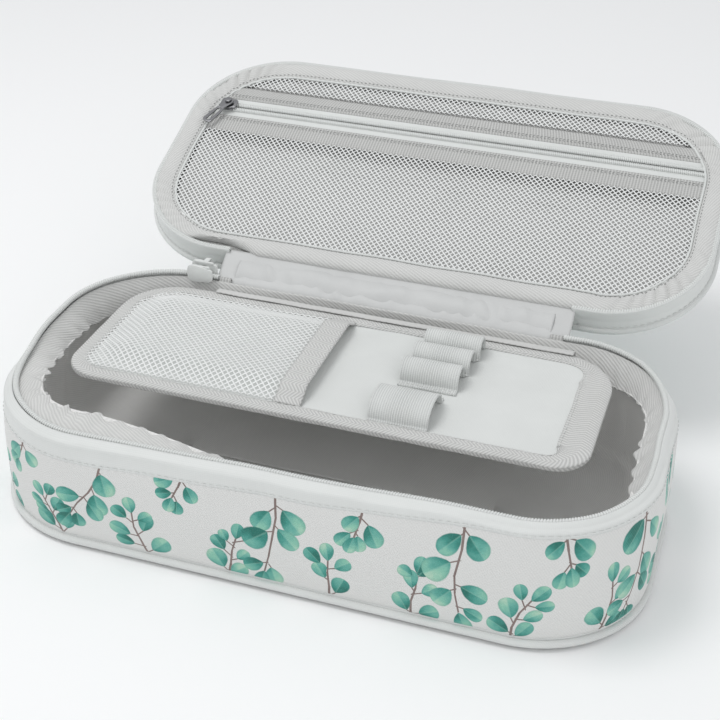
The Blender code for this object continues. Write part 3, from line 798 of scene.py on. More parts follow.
def lay_leaves(layers, spots, leaves):
    """Lay each leaf on top of the faces that it covers, and push what they held a layer down."""
    middle = spots.mean(axis=1)
    for base, angle, long, half, tone in leaves:
        chosen = np.flatnonzero(np.linalg.norm(middle - base, axis=1) < long * 1.2)
        along, across = local(spots[chosen], base, angle, long, half)
        span = np.clip(along, 0, 1)
        edge = LEAF_FULL * span**LEAF_NECK * (1 - span) ** LEAF_TIP - np.abs(across)
        over = edge.max(axis=1) > -0.04
        chosen = chosen[over]
        for under, upper in zip(LEAF_LAYERS, LEAF_LAYERS[1:]):
            layers[under][chosen] = layers[upper][chosen]
        layers[LEAF_LAYERS[-1]][chosen] = stack(along, across, tone)[over]


def lay_stems(layer, spots, lines):
    """Give each face the stem that runs closest to it."""
    middle = spots.mean(axis=1)
    closest = np.full(len(spots), 1.3)
    for start, end, half in lines:
        angle = math.atan2(*(end - start)[::-1])
        long = np.linalg.norm(end - start)
        chosen = np.flatnonzero(np.linalg.norm(middle - (start + end) / 2, axis=1) < long * 0.5 + 1.0)
        along, across = local(spots[chosen], start, angle, long, half)
        away = np.abs(across.mean(axis=1)) * half
        away = away + np.maximum(np.abs(along.mean(axis=1) - 0.5) - 0.5, 0) * long * 2
        over = away < closest[chosen]
        closest[chosen[over]] = away[over]
        layer[chosen[over]] = stack(along, across, 0.0)[over]


def print_on(obj, leaves, stems, twigs):
    """Write each face's own leaf and stem places as corner attributes, which the print reads.

    A face takes the three leaves that lie on top there, so a leaf's edge is drawn by the material and
    stays crisp however coarse the cloth's grid is.
    """
    mesh = obj.data
    uv = np.empty(len(mesh.loops) * 2, np.float32)
    mesh.uv_layers["Cloth"].data.foreach_get("uv", uv)
    spots = uv.reshape(-1, 4, 2).astype(float) / MM
    bare = [0.5, 9.0, 0.0]  # far outside any leaf
    layers = {name: np.tile(bare, (len(spots), 4, 1)) for name in LEAF_LAYERS + STEM_LAYERS}
    lay_leaves(layers, spots, leaves)
    for name, lines in zip(STEM_LAYERS, (stems, twigs)):
        lay_stems(layers[name], spots, lines)
    for name, values in layers.items():
        made = mesh.attributes.new(name, "FLOAT_VECTOR", "CORNER")
        made.data.foreach_set("vector", values.reshape(-1).astype(np.float32))


# ---------------------------------------------------------------- how the soft case settles

# Values at stops round the case: the wall slumps at the left and stands up at the right of the front, the
# zip tape creases above it and leans in by FOLD degrees, and the lining and its binding hang in by SLACK.
STOPS = (0, 112, 140, 178, 225, 300, 365, 415, 465, 520, 594)
WALL_RISE = (0, 0, -0.4, -3.6, -4.6, -1.6, 3.8, 4.8, 2.2, 0, 0)
CREASE_Z = (41, 41, 41, 39.4, 38.8, 40.0, 42.6, 43.2, 42, 41, 41)
TAPE_TOP = (46, 46, 46, 44.8, 43.6, 44.8, 46.8, 47.2, 46.6, 46, 46)
FOLD = (0, 0, 2, 42, 60, 66, 62, 60, 44, 0, 0)
SLACK = (0, 1.0, 3.5, 8.0, 10.0, 5.0, 0, 3.5, 5.0, 1.0, 0)
FOLD_INSET = 0.9  # the fold's axis lies this far in
FOLD_BEND = 1.3  # the fold turns over this much cloth


def profile(s, values):
    """A smooth curve through the values at the stops round the case."""
    at, value = np.array(STOPS, float), np.array(values, float)
    here = np.mod(s, CASE.length)
    k = np.clip(np.searchsorted(at, here, side="right") - 1, 0, len(at) - 2)
    return value[k] + (value[k + 1] - value[k]) * smooth_step((here - at[k]) / (at[k + 1] - at[k]))


def off_slider(s):
    """0 along the main slider's way round the back left corner, and 1 elsewhere."""
    return 1 - near(s, SLIDER_WAY, 62)


def lean(s):
    """How far the wall's top leans in at s."""
    return 0.9 * near(s, FRONT, 120) + 0.35 * waves(s, 50, 6) * off_slider(s)


def settled(s, inset, z):
    """Where a point of the soft body lies at rest, as inset and height."""
    s, inset, z = np.broadcast_arrays(s[None, :], inset, z)
    rise = profile(s, WALL_RISE) + 0.3 * waves(s, 55, 5) * off_slider(s)
    crease = profile(s, CREASE_Z) + 0.35 * waves(s, 34, 7)
    low_z = z + rise * np.clip(z / WALL_TOP, 0, 1) ** 1.6
    up = (z - WALL_TOP) / (BODY_COIL_Z - WALL_TOP)
    z = np.where(up > 0, WALL_TOP + rise + up * (profile(s, TAPE_TOP) - WALL_TOP - rise), low_z)
    above = np.maximum(z - crease, 0.0)
    angle = np.radians(profile(s, FOLD)) * smooth_step(above / FOLD_BEND)
    out = inset - FOLD_INSET
    folded_inset = FOLD_INSET + out * np.cos(angle) + above * np.sin(angle)
    folded_z = crease + above * np.cos(angle) - out * np.sin(angle)
    inset = np.where(above > 0, folded_inset, inset) + lean(s) * np.clip(low_z / WALL_TOP, 0, 1) ** 2
    return inset, np.where(above > 0, folded_z, z)


def body_grid(s, inset, z):
    """Points of the soft body's cloth."""
    return ring_grid(CASE, s, *settled(s, inset, z))


def lid_grid(s, inset, z):
    """Points of the lid's wall, shut."""
    return ring_grid(CASE, s, inset + 0.25 * waves(s, 60, 81) * off_slider(s), z)


def level_grid(s, inset, z):
    """Points of a piece whose height is the same all round."""
    return ring_grid(CASE, s, inset, z)


def outward(s):
    """The way out of the case at s."""
    return stack(*CASE.normal(s), 0.0)


# ---------------------------------------------------------------- the body


def make_round_cord(name, grid, inset, z, radius, material, body, slot, *nodes):
    """A cord sewn in all round the case."""
    path = grid(ALL_ROUND, inset, z)[0]
    cord = tube(name, path, outward(ALL_ROUND), radius, sides=12, closed=True)
    piece(cord, material, body, slot, *nodes)


def make_base():
    """The base cloth with its piping and the seam above it."""
    x, y = disc_grid(CASE, 2.2, 46)
    base = sheet_over("base_cloth", x, y, 0.30 + 0.25 * ripple(x, y, 45, 11))
    thicken(weld(base), 0.8, 1.0)
    piece(base, PLAIN, "case_body", "plain_fabric", "base_panel")
    make_round_cord("base_piping_cord", body_grid, 0.3, 1.9, 1.35, CORD, "case_body", "piping", "base_piping")
    make_round_cord("base_seam_bead", body_grid, 1.0, 3.4, 0.45, CORD, "case_body", "piping")


def make_padding(name, ring, grid, body, node):
    """A ring of foam with the given cross-section."""
    pad = surface(name, grid(ALL_ROUND, *columns(ring)), wrap_u=True, wrap_v=True)
    piece(pad, FOAM, body, "foam", node)


def make_wall():
    """The printed wall and the padding behind it."""
    stations = [(1.1, 3.2), (0.25, 5.0), (-0.3, 12), (-0.5, 21), (-0.35, 29), (0.1, 35.5), (0.55, 38.2)]
    inset, z = section(stations, 32)
    soft = 0.30 * ripple(ALL_ROUND[None, :], z, 30, 21) * np.sin(z / WALL_TOP * 3.1)
    wall = surface("leaf_print_wall", body_grid(ALL_ROUND, inset + soft, z), wrap_u=True)
    print_on(wall, *sprigs(4, (0.0, CASE.length), -2, 36))
    thicken(wall, 0.8)
    piece(wall, PRINTED, "case_body", "printed_fabric", "printed_wall")
    ring = [(1.6, 5.0), (0.9, 12), (0.8, 21), (1.0, 30), (1.5, 36.8), (3.2, 37.0), (3.4, 21), (3.4, 5.0)]
    make_padding("wall_padding", ring, body_grid, "case_body", "wall_foam")


def binding_edge(s):
    """The rim binding's lower edge, where the lining is sewn to it, as inset and height."""
    slack = profile(s, SLACK)
    top_inset, top_z = (row[0] for row in settled(s, COIL_INSET, BODY_COIL_Z))
    inset = np.maximum(5.6 + slack, top_inset + 0.8 * slack)
    return inset, 32.8 + 0.6 * (top_z - BODY_COIL_Z) + 1.25 * slack


def make_lining():
    """The body's lining: a floor and puckered walls in one cloth."""
    x, y = disc_grid(CASE, 12, 34)
    s = CASE.steps(x.shape[1])
    ends = near(s, LEFT_END, 85) + near(s, RIGHT_END, 85)
    inset, z = section([(12, 5.6), (8.0, 5.7), (5.4, 7.2), (4.4, 11), (4.2, 20), (4.2, 30), (4.1, 38.6)], 30)
    middle = np.sin(math.pi * np.clip((z - 6) / (WALL_TOP - 6), 0, 1))
    pucker = np.maximum(0.0, waves(s, 13, 31)) * (0.5 + 2.2 * ends) * middle
    inset, low_z = settled(s, inset + pucker, z)
    edge_inset, edge_z = binding_edge(s)
    sewn = smooth_step((z - 12) / (WALL_TOP - 12)) ** 1.5
    inset = inset + sewn * (edge_inset - inset)
    walls = ring_grid(CASE, s, inset, low_z + sewn * (edge_z - low_z))[::-1]
    floor_z = 5.6 + 0.25 * ripple(x, y, 40, 33) * smooth_step(4 * shares(len(x)))
    lining = surface("lining_cloth", np.concatenate([walls[:-1], stack(x, y, floor_z)]), wrap_u=True)
    thicken(weld(lining), 0.5)
    piece(lining, LINING, "case_body", "lining_plain", "body_lining")


def make_rim_binding():
    """Twill tape over the lining's upper seam, loose and puckered, and slack where the wall slumps."""
    s = ALL_ROUND
    back = near(s, 0.0, 100)
    slack = profile(s, SLACK)
    ends = np.clip(slack / 6, 0, 1)
    top_inset, top_z = (row[0] for row in settled(s, COIL_INSET + 0.6, BODY_COIL_Z - 1.4))
    end_inset, end_z = binding_edge(s)
    mid_inset = (top_inset + end_inset) / 2 + 0.6 - 3.0 * back
    mid_z = top_z * 0.45 + end_z * 0.55 + 0.45 * np.maximum(slack - 4, 0)
    t = shares(20)
    bend = (1 - t) ** 2, 2 * t * (1 - t), t**2
    inset = sum(share * value for share, value in zip(bend, (top_inset, mid_inset, end_inset)))
    z = sum(share * value for share, value in zip(bend, (top_z, mid_z, end_z)))
    tucks = np.abs(waves(s + 5 * t, 13, 41)) * 2 - 1
    loose = t**1.2 * (1 - back)
    inset = inset + loose * (tucks * (0.3 + 0.9 * ends) + 0.6)
    z = z + loose * waves(s - 4 * t, 11, 42) * (0.4 + 0.8 * ends)
    binding = thicken(surface("rim_binding_twill", ring_grid(CASE, s, inset, z), wrap_u=True), 0.5)
    piece(binding, TWILL, "case_body", "twill_binding", "body_rim_binding")


def zip_half(prefix, coil_z, grid, tape, body):
    """One half of the main zip: its folded tape, its coil and the stitching that holds it."""
    (foot_inset, foot_z), rising = tape[0], np.sign(tape[-1][1] - tape[0][1])
    woven = surface(prefix + "_tape_woven", grid(ZIP_RUN, *section(tape, 12)))
    piece(thicken(woven, 0.5, -rising), TAPE, body, "zip_tape", prefix + "_zipper_tape")
    path = grid(ZIP_RUN, COIL_INSET, coil_z)[0]
    teeth = coil(prefix + "_coil_teeth", path, outward(ZIP_RUN), 0.9, (0.66, 0.66), 0.37)
    piece(teeth, NYLON, body, "zip_coil", prefix + "_zipper_coil")
    line = grid(ZIP_RUN, foot_inset - 0.12, foot_z + rising)[0]
    sewn = stitches(prefix + "_tape_stitching", line, outward(ZIP_RUN), 2.5, 1.7, 0.16)
    piece(sewn, THREAD, body, "zip_tape")


def make_body_zip():
    """The body's half of the main zip, with the tabs over its two ends."""
    tape = [(0.35, 37.2), (0.40, 38.6), (0.75, 41.4), (0.60, 42.0), (0.55, 44.0), (0.62, 45.3)]
    zip_half("body", BODY_COIL_Z, body_grid, tape, "case_body")
    for name in ("zip_end_tab_left", "zip_end_tab_right"):
        low, high = box_of(name)
        over = [(high.y, low.z), (high.y + 0.1, high.z - 1), (high.y - 0.7, high.z + 0.3)]
        y, z = section(over + [(low.y - 0.3, high.z - 1.5), (low.y - 0.1, low.z)], 22)
        x = np.linspace(low.x - 0.3, high.x + 0.3, 9)
        tab = thicken(surface(name + "_folded", stack(x, y, z)), 0.35, 0.0)
        piece(tab, GROSGRAIN, "case_body", "zip_tape", name)


# ---------------------------------------------------------------- the lid


def make_lid_shell():
    """The lid's printed top with its piping and padding."""
    x, y = disc_grid(CASE, 2.2, 46)
    z = LID_TOP - 0.5 + 0.5 * smooth_step(shares(len(x)) * 4) + 0.2 * ripple(x, y, 50, 51)
    top = sheet_over("leaf_print_lid", x, y, z)
    print_on(top, *sprigs(9, (-HALF_X, HALF_X), -HALF_Y, HALF_Y))
    thicken(weld(top), 0.8)
    piece(top, PRINTED, "lid", "printed_fabric", "lid_panel")
    make_round_cord("lid_piping_cord", level_grid, 0.6, 58.4, 1.45, CORD, "lid", "piping", "lid_piping")
    ring = [(2.6, 51.6), (4.6, 51.2), (8.6, 51.6), (10.2, 55.0), (9.0, 55.6), (3.0, 55.6)]
    make_padding("lid_padding", ring, level_grid, "lid", "lid_wall_foam")


def make_lid_lining():
    """The lining under the lid's pocket."""
    x, y = disc_grid(CASE, 10.6, 42)
    share = shares(len(x))
    z = LID_LINING_Z + 0.2 - 4.6 * (1 - smooth_step(share * 9))
    z = z - 0.35 * (1 + ripple(x, y, 34, 61)) * smooth_step(share * 5)
    under = thicken(weld(sheet_over("lid_lining_sheet", x, y, z)), 0.4, 1.0)
    # the darker lid lining cloth is painted shade behind the pocket net
    piece(under, LID_LINING, "lid", "lining_plain", "lid_lining_panel")


BAND_STATIONS = [
    (1.6, 51.0), (1.2, 49.8), (1.9, 48.6), (3.5, 47.9),
    (5.4, 47.8), (7.5, 48.4), (9.2, 49.7), (9.8, 50.8),
]


def make_lid_band():
    """The padded twill band round the lid's inside, tucked at its corners, with its ridge and stitching."""
    s = ALL_ROUND
    inset, z = section(BAND_STATIONS, 22)
    share = shares(len(z))
    turns = np.minimum(sum(near(s, CASE.stops[k] + 30, 45) for k in (1, 3, 5, 7)), 1)
    tuck = (1 - np.abs(waves(s + 7 * share, 12, 71))) ** 2 * (0.12 + 2.0 * turns)
    z = z + np.sin(math.pi * share) * (tuck - 0.5 * near(s, 0.0, 130) - 0.15 * waves(s, 40, 72))
    inset = inset + share * (0.35 * waves(s, 45, 73))
    beside_slider = near(s, CASE.stops[1], 17) ** 0.5
    inset = inset + beside_slider * np.maximum(5.3 - inset, 0)
    band = thicken(surface("lid_lining_twill", ring_grid(CASE, s, inset, z)[::-1], wrap_u=True), 0.5)
    piece(band, TWILL, "lid", "lining_twill", "lid_lining_band")
    path = ring_grid(CASE, s, inset[-3] + 0.5, z[-3] - 0.2)[0]
    ridge = tube("pocket_seam_ridge", path, outward(s), 0.45, closed=True)
    piece(ridge, PLAIN, "lid", "lining_plain")
    path = ring_grid(CASE, s, inset[-5], z[-5] - 0.05)[0]
    # painted shade: dark stitches for the needle holes' shade along the band
    sewn = stitches("lid_lining_stitching", path, -UP, 1.7, 0.9, 0.15)
    piece(sewn, SHADED_THREAD, "lid", "lining_twill")


def make_lid_zip():
    """The lid's half of the main zip."""
    tape = [(0.35, 57.4), (0.40, 56.0), (0.75, 53.6), (0.60, 53.0), (0.55, 50.6), (0.62, 48.8)]
    zip_half("lid", LID_COIL_Z, lid_grid, tape, "lid")


class Inside:
    """Whether a plane point lies inside a plan outline and between limits."""

    def __init__(self, plan, inset, y_low=-1000, y_high=1000, x_high=1000):
        """box holds the range of x and the range of y."""
        self.x, self.y = plan.at(np.linspace(0, plan.length, 400), inset)
        self.limits = (y_low, y_high, x_high)
        y_range = max(self.y.min(), y_low), min(self.y.max(), y_high)
        self.box = ((self.x.min(), min(self.x.max(), x_high)), y_range)

    def __call__(self, x, y):
        """True for each point that lies left of every edge and within the limits."""
        ax, ay = self.x[:-1, None], self.y[:-1, None]
        cross = np.diff(self.x)[:, None] * (y - ay) - np.diff(self.y)[:, None] * (x - ax)
        low, high, right = self.limits
        return (cross > 0).all(axis=0) & (y > low) & (y < high) & (x < right)


def pocket_height(x, y):
    """How far the pocket's cloth stands from its plane, shut: a slack belly, flat at the zip's slider."""
    belly = 0.25 * ripple(x, y, 45, 91) * smooth_step((np.abs(y - POCKET_ZIP_Y) - 3) / 9)
    return POCKET_Z + belly * smooth_step((HALF_X - 12 - np.abs(x)) / 25)


NET_STRAND = 0.44  # a strand's width


def yarn_area(knit):
    """The area of a net's strands, in square metres."""
    return sum(p.area for p in knit.data.polygons)


def make_pocket():
    """The pocket across the lid: netting, grosgrain bindings and a zip of two fine coils."""

    def place(x, y, height):
        return stack(x, y, pocket_height(x, y) - height)

    for part in ("upper", "main"):
        node = "pocket_mesh_" + part
        low, high = shut_box(node)
        knit = net("pocket_net_" + part, Inside(CASE, 8.2, low.y, high.y), place, (2.15, 2.35), NET_STRAND)
        piece(knit, NET, "lid", "net", node)
        yarn_area(knit)
    make_pocket_strip("pocket_grosgrain_upper", "pocket_binding_upper", GROSGRAIN, "grosgrain", -0.5)
    make_pocket_strip("pocket_tape_woven_upper", "pocket_zipper_tape_upper", TAPE, "zip_tape", 0.15)
    make_pocket_strip("pocket_tape_woven_lower", "pocket_zipper_tape_lower", TAPE, "zip_tape", 0.15)
    make_pocket_strip("pocket_grosgrain_lower", "pocket_binding_lower", GROSGRAIN, "grosgrain", -0.5)
    for part in ("upper", "lower"):
        low, high = shut_box("pocket_coil_" + part)
        x, y = np.linspace(low.x, high.x, 300), (low.y + high.y) / 2
        path = stack(x, y, pocket_height(x, y))
        side = np.broadcast_to([0.0, 1.0, 0.0], path.shape)
        teeth = coil("pocket_teeth_" + part, path, side, 0.75, (0.85, 0.45), 0.33)
        piece(teeth, NYLON, "lid", "zip_coil", "pocket_coil_" + part)


def make_pocket_strip(name, node, look, slot, lift):
    """One woven strip of the pocket, with a rolled edge on each side; lift stands it proud."""
    low, high = shut_box(node)
    y = np.linspace(low.y - 0.25, high.y + 0.25, 13)
    rolled = 1 - np.abs(np.linspace(-1, 1, 13)) ** 6
    reach = [strip_end(value) for value in np.clip(y, low.y, high.y)]
    x = np.array(reach)[:, None] * np.linspace(-1, 1, 200)
    points = stack(x, y[:, None], pocket_height(x, y[:, None]) + 0.25 + lift * rolled[:, None] * 0.8)
    strip = thicken(surface(name, points[::-1]), 0.35)
    piece(strip, look, "lid", slot, node)
    if look is not GROSGRAIN:
        return
    beside_zip = points[-4 if name.endswith("upper") else 3]
    for k, shift in enumerate((-0.45, 0.45)):
        line = beside_zip + [0, shift, 0]
        # painted shade: dark stitches for the needle holes' shade beside the zip
        sewn = stitches(f"{name}_stitching_{k}", line, -UP, 1.5, 1.1, 0.15, skew=0.5 - k)
        piece(sewn, SHADED_THREAD, "lid", slot)


def strip_end(y):
    """How far from the middle the pocket reaches at depth y."""
    x, edge_y = CASE.at(np.linspace(0, CASE.length / 2, 1200), 8.4)
    return abs(x[np.argmin(np.abs(edge_y - y))])


# ---------------------------------------------------------------- the hinge

HINGE_OUTER = [(54.9, 38.4), (56.0, 43.2), (59.0, 46.9), (63.0, 49.2), (66.3, 48.8), (66.7, 45.6)]
HINGE_INNER = [(52.0, 36.5), (53.2, 41.6), (55.8, 44.6), (59.4, 46.8), (62.8, 49.6), (65.4, 51.7)]


def make_hinge():
    """The satin hinge: an outer cloth and an inner one, each bending from the body to the lid."""
    nodes = ("hinge_strip_lower", "hinge_strip_upper")
    hinge_cloth("hinge_cloth_outer", 0, HINGE_HALF, smooth_line(HINGE_OUTER, 20), 1.0, nodes)
    hinge_cloth("hinge_cloth_inner", 1, HINGE_HALF + 6.5, smooth_line(HINGE_INNER, 26), -1.0, ())


def hinge_cloth(name, number, half, line, offset, nodes):
    """One cloth of the hinge: soft folds along it, and ends tucked in past the zip's end tabs."""
    x, share = np.linspace(-half, half, 150), shares(len(line))
    loose = np.sin(math.pi * share) * smooth_step((half - np.abs(x)) / 14) * smooth_step((share - 0.15) * 2.5)
    crease = ripple(x * 0.45, share * 20, 11, 101 + number)
    folds = np.abs(waves(x + 9 * share, 16, 103 + number, 3 * half)) - 0.5
    past = 1.9 * smooth_step((np.abs(x) - HINGE_HALF + 3) / 4) * (1 - share)
    y = line[:, :1] + 0.45 * loose * folds - past
    z = line[:, 1:] + loose * (0.6 * crease - 0.8 * folds)
    satin = thicken(surface(name, stack(x, y, z)), 0.35, offset)
    bent(satin, SATIN, nodes)
    flat = metres(2 * half, run(line)[-1])


# ---------------------------------------------------------------- sliders and pulls


def slab(outlines, low, high, edge, place):
    """A plate with rounded edges, as points and faces.

    outlines are its edge and any holes, as (a, b) points. place(a, b, height) gives a point in the frame.
    """
    bm = bmesh.new()
    edges = []
    for outline in outlines:
        ring = [bm.verts.new((a, b, low)) for a, b in outline]
        edges += [bm.edges.new((ring[i - 1], ring[i])) for i in range(len(ring))]
    made = bmesh.ops.triangle_fill(bm, edges=edges, use_beauty=True)
    faces = [f for f in made["geom"] if isinstance(f, bmesh.types.BMFace)]
    grown = bmesh.ops.extrude_face_region(bm, geom=faces)
    moved = [v for v in grown["geom"] if isinstance(v, bmesh.types.BMVert)]
    bmesh.ops.translate(bm, verts=moved, vec=(0, 0, high - low))
    bmesh.ops.recalc_face_normals(bm, faces=bm.faces)
    level = [e for e in bm.edges if abs(e.verts[0].co.z - e.verts[1].co.z) < 1e-4]
    rims = [e for e in level if e.calc_face_angle(0.0) > 1.0]
    bmesh.ops.bevel(bm, geom=rims, offset=edge, segments=2, profile=0.5, affect="EDGES", clamp_overlap=True)
    bm.verts.ensure_lookup_table()
    points = [place(*v.co) for v in bm.verts]
    faces = [[v.index for v in f.verts] for f in bm.faces]
    bm.free()
    return points, faces


def assembly(name, solids):
    """Several solids in one object, smooth but for their sharp edges."""
    points, faces = [], []
    for more, these in solids:
        faces += [[len(points) + i for i in face] for face in these]
        points += more
    obj = make_object(name, points, faces)
    reworked(obj, lambda bm: bmesh.ops.recalc_face_normals(bm, faces=bm.faces))
    obj.data.shade_smooth()
    obj.data.set_sharp_from_angle(angle=math.radians(40))
    return obj


def from_back(a, b, height):
    """Place a plate's point when its face looks to the back."""
    return a, height, b


def from_side(a, b, height):
    """Place a plate's point when its face looks to the side."""
    return height, a, b


def from_above(a, b, height):
    """Place a plate's point when its face looks up."""
    return a, b, height


def oval(a, b, half_a, half_b, radius, steps=6):
    """A rounded rectangle round (a, b), as points."""
    corner = np.linspace(0, math.pi / 2, steps)
    points = []
    for k, (sa, sb) in enumerate(((1, 1), (-1, 1), (-1, -1), (1, -1))):
        turn = corner + k * math.pi / 2
        points += zip(
            a + sa * (half_a - radius) + radius * np.cos(turn),
            b + sb * (half_b - radius) + radius * np.sin(turn),
        )
    return points


def circle(a, b, radius, steps=20):
    """A circle's points."""
    turn = 2 * math.pi * np.arange(steps) / steps
    return list(zip(a + radius * np.cos(turn), b + radius * np.sin(turn)))


def shield(a, b, half_a, half_b):
    """A zip slider's outline: broad shoulders at one end and narrow at the other."""
    shoulder = [(-1, 0.45), (-0.9, 0.85), (-0.55, 1.0), (0.0, 0.95), (0.5, 0.76), (0.9, 0.68), (1, 0.42)]
    top = smooth_line(shoulder, 18)
    return [(a + half_a * p, b + half_b * q) for p, q in np.vstack([top, top[::-1] * [1, -1]])]


def waisted(x, y, long, half):
    """A pull's outline: a round eye, a slim neck and a longer rounded tab."""
    eye = [(0.0, -half), (half * 0.8, -half * 0.62), (half, 0.2)]
    neck = [(half * 0.72, 2.6), (half * 0.68, 4.2), (half * 0.92, 7.0)]
    tab = [(half, long - 3.6), (half * 0.75, long - 2.5), (0.0, long - half)]
    side = smooth_line(eye + neck + tab, 26)
    return [(x + a, y + b) for a, b in np.vstack([side, (side * [-1, 1])[::-1][1:-1]])]


def make_main_slider():
    """The main zip's white slider: two plates with lips, a post between the rows of teeth and a bail."""
    low, high = box_of("main_slider")
    pin = in_mm(joint("main_pull_swing")["pos_m"])
    x, z = (low.x + high.x) / 2, (low.z + high.z) / 2
    half_x, half_z = (high.x - low.x) / 2, (high.z - low.z) / 2
    inner, outer = low.y, HALF_Y - COIL_INSET + COIL_R + 0.6
    plate = shield(x, z, half_x, half_z)
    post = oval(x, (BODY_COIL_Z + LID_COIL_Z) / 2, 2.4, 0.32, 0.3)
    bail_y, bail_z = pin.y + 1.6, pin.z + 0.2
    bail = [
        oval((outer + bail_y) / 2, bail_z, (bail_y - outer) / 2, 2.4, 1.1),
        oval(pin.y - 0.3, bail_z, 1.2, 1.6, 0.6),
    ]
    solids = [
        slab([plate], inner, inner + 0.8, 0.3, from_back),
        slab([plate], outer, outer + 1.0, 0.3, from_back),
        slab([post], inner + 0.5, outer + 0.3, 0.08, from_back),
        slab(bail, x - 1.0, x + 1.0, 0.25, from_side),
    ]
    for side in (-1, 1):
        lip = oval(x, z + side * half_z * 0.86, half_x * 0.72, 0.35, 0.3)
        solids += [slab([lip], y, y + 0.9, 0.15, from_back) for y in (inner + 0.4, outer - 0.4)]
    piece(assembly("enamel_slider", solids), ENAMEL, "main_slider_body", "white_enamel", "main_slider")


def make_main_pull():
    """The main slider's pull: a bar through the bail, two arms and a tab with a raised panel."""
    low, high = box_of("main_pull")
    pin = in_mm(joint("main_pull_swing")["pos_m"])
    half, panel_top = (high.x - low.x) / 2, pin.z - 4.6
    panel_z = (low.z + panel_top) / 2
    outline = oval(pin.x, (low.z + high.z) / 2, half, (high.z - low.z) / 2, 1.6)
    window = oval(pin.x, pin.z - 2.15, half - 1.4, 1.65, 0.5)
    panel = oval(pin.x, panel_z, half - 1.0, panel_top - panel_z - 1.0, 1.2)
    back, front = pin.y - 0.5, pin.y + 0.5
    pull = assembly("enamel_pull", [
        slab([outline, window], back, front, 0.2, from_back),
        slab([panel], back - 0.12, front + 0.12, 0.1, from_back),
    ])
    piece(pull, ENAMEL, "main_pull_body", "white_enamel", "main_pull")


POCKET_PULL_TURN = math.radians(21)  # from straight down the open lid's slope
POCKET_PULL_LONG, POCKET_PULL_HALF = 16.5, 2.1


def make_pocket_slider():
    """The pocket zip's small dark slider."""
    x, y = in_mm(LID_SHUT @ Vector(joint("pocket_pull_swing")["pos_m"]))[:2]
    low, high = shut_box("pocket_slider")
    half_x, half_y = (high.x - low.x) / 2, (high.y - low.y) / 2
    near_z, far_z = POCKET_Z - 1.2, POCKET_Z + 1.2
    plate = shield(x, y, half_x, half_y)
    solids = [
        slab([plate], near_z - 0.7, near_z, 0.22, from_above),
        slab([plate], far_z, far_z + 0.7, 0.22, from_above),
        slab([oval(x, y, 1.2, 0.25, 0.2)], near_z - 0.2, far_z + 0.2, 0.05, from_above),
        slab([circle(x, y, 0.6)], low.z + 0.2, near_z, 0.08, from_above),
        slab([circle(x, y, 1.3)], low.z, low.z + 0.6, 0.2, from_above),
    ]
    for side in (-1, 1):
        lip = oval(x, y + side * (half_y - 0.35), half_x * 0.7, 0.28, 0.25)
        solids += [slab([lip], z, z + 0.7, 0.1, from_above) for z in (near_z - 0.2, far_z - 0.5)]
    piece(assembly("nickel_slider", solids), NICKEL, "pocket_slider_body", "dark_metal", "pocket_slider")
    make_pocket_pull(x, y, near_z - 2.0)


def make_pocket_pull(x, y, top):
    """The pocket slider's slotted pull, which hangs from (x, y)."""
    long, cos, sin = POCKET_PULL_LONG, math.cos(POCKET_PULL_TURN), math.sin(POCKET_PULL_TURN)

    def hanging(a, b, height):
        return x + (a - x) * cos - (b - y) * sin, y + (a - x) * sin + (b - y) * cos, height

    slot = oval(x, y + long * 0.56, 0.75, long * 0.25, 0.7)
    outlines = [waisted(x, y, long, POCKET_PULL_HALF), circle(x, y, 1.0), slot]
    pull = assembly("nickel_pull", [slab(outlines, top, top + 0.7, 0.18, hanging)])
    piece(pull, NICKEL, "pocket_pull_body", "dark_metal", "pocket_pull")


# ---------------------------------------------------------------- the divider

FLAP_STEPS = FLAP.steps(500)
BINDING_STATIONS = [  # share of the binding's width, height
    (1.0, 42.7), (0.93, 43.15), (0.6, 43.45), (0.25, 43.4), (0.03, 42.9), (0.0, 42.0),
    (0.03, 41.1), (0.25, 40.7), (0.6, 40.7), (0.93, 40.85), (1.0, 41.2),
]


def make_divider():
    """The divider flap: padded cloth and its twill binding."""
    x, y = disc_grid(FLAP, 1.2, 26)
    z = FLAP_HIGH.z + (0.05 + 0.16 * ripple(x, y, 30, 121)) * smooth_step(shares(len(x)) * 2.5)
    cloth_top = thicken(weld(sheet_over("divider_cloth", x, y, z)), FLAP_HIGH.z - FLAP_LOW.z)
    piece(cloth_top, PLAIN, "divider", "divider_cloth", "divider_panel")

    s = FLAP_STEPS
    right = near(s, (FLAP.stops[6] + FLAP.stops[7]) / 2, 46, FLAP.length)
    width = 5.6 + 5.4 * smooth_step(right * 2.2) + 0.25 * waves(s, 25, 122, FLAP.length)
    share, z = section(BINDING_STATIONS, 40)
    z = z + 0.12 * waves(s, 18, 123, FLAP.length) * np.clip(z - 42, -1, 1)
    binding = surface("divider_edge_binding", ring_grid(FLAP, s, share * width, z)[::-1], wrap_u=True)
    piece(thicken(binding, 0.35), BINDING, "divider", "twill_binding", "divider_binding")
    path = ring_grid(FLAP, s, width - 0.9, 43.35)[0]
    sewn = stitches("divider_binding_stitching", path, UP, 2.5, 1.6, 0.14)
    piece(sewn, THREAD, "divider", "twill_binding")


def make_divider_tape():
    """The tape from the body's lining up to the divider's back edge, where it bends."""
    low, high = box_of("divider_hinge_tape")
    back = (low.y + high.y) / 2
    stations = [(back, low.z), (back, high.z), (back - 0.7, 42.6), (back - 2.2, 43.6), (back - 5.0, 43.9)]
    y, z = section(stations, 16)
    x = np.linspace(low.x + 7, high.x, 170)  # clear of the main slider
    y = y + 0.15 * waves(x, 18, 131, 2 * HALF_X)
    tape = thicken(surface("divider_tape_soft", stack(x, y, z)), 0.4)
    nodes = ("divider_hinge_tape",)
    bent(tape, TWILL, nodes)


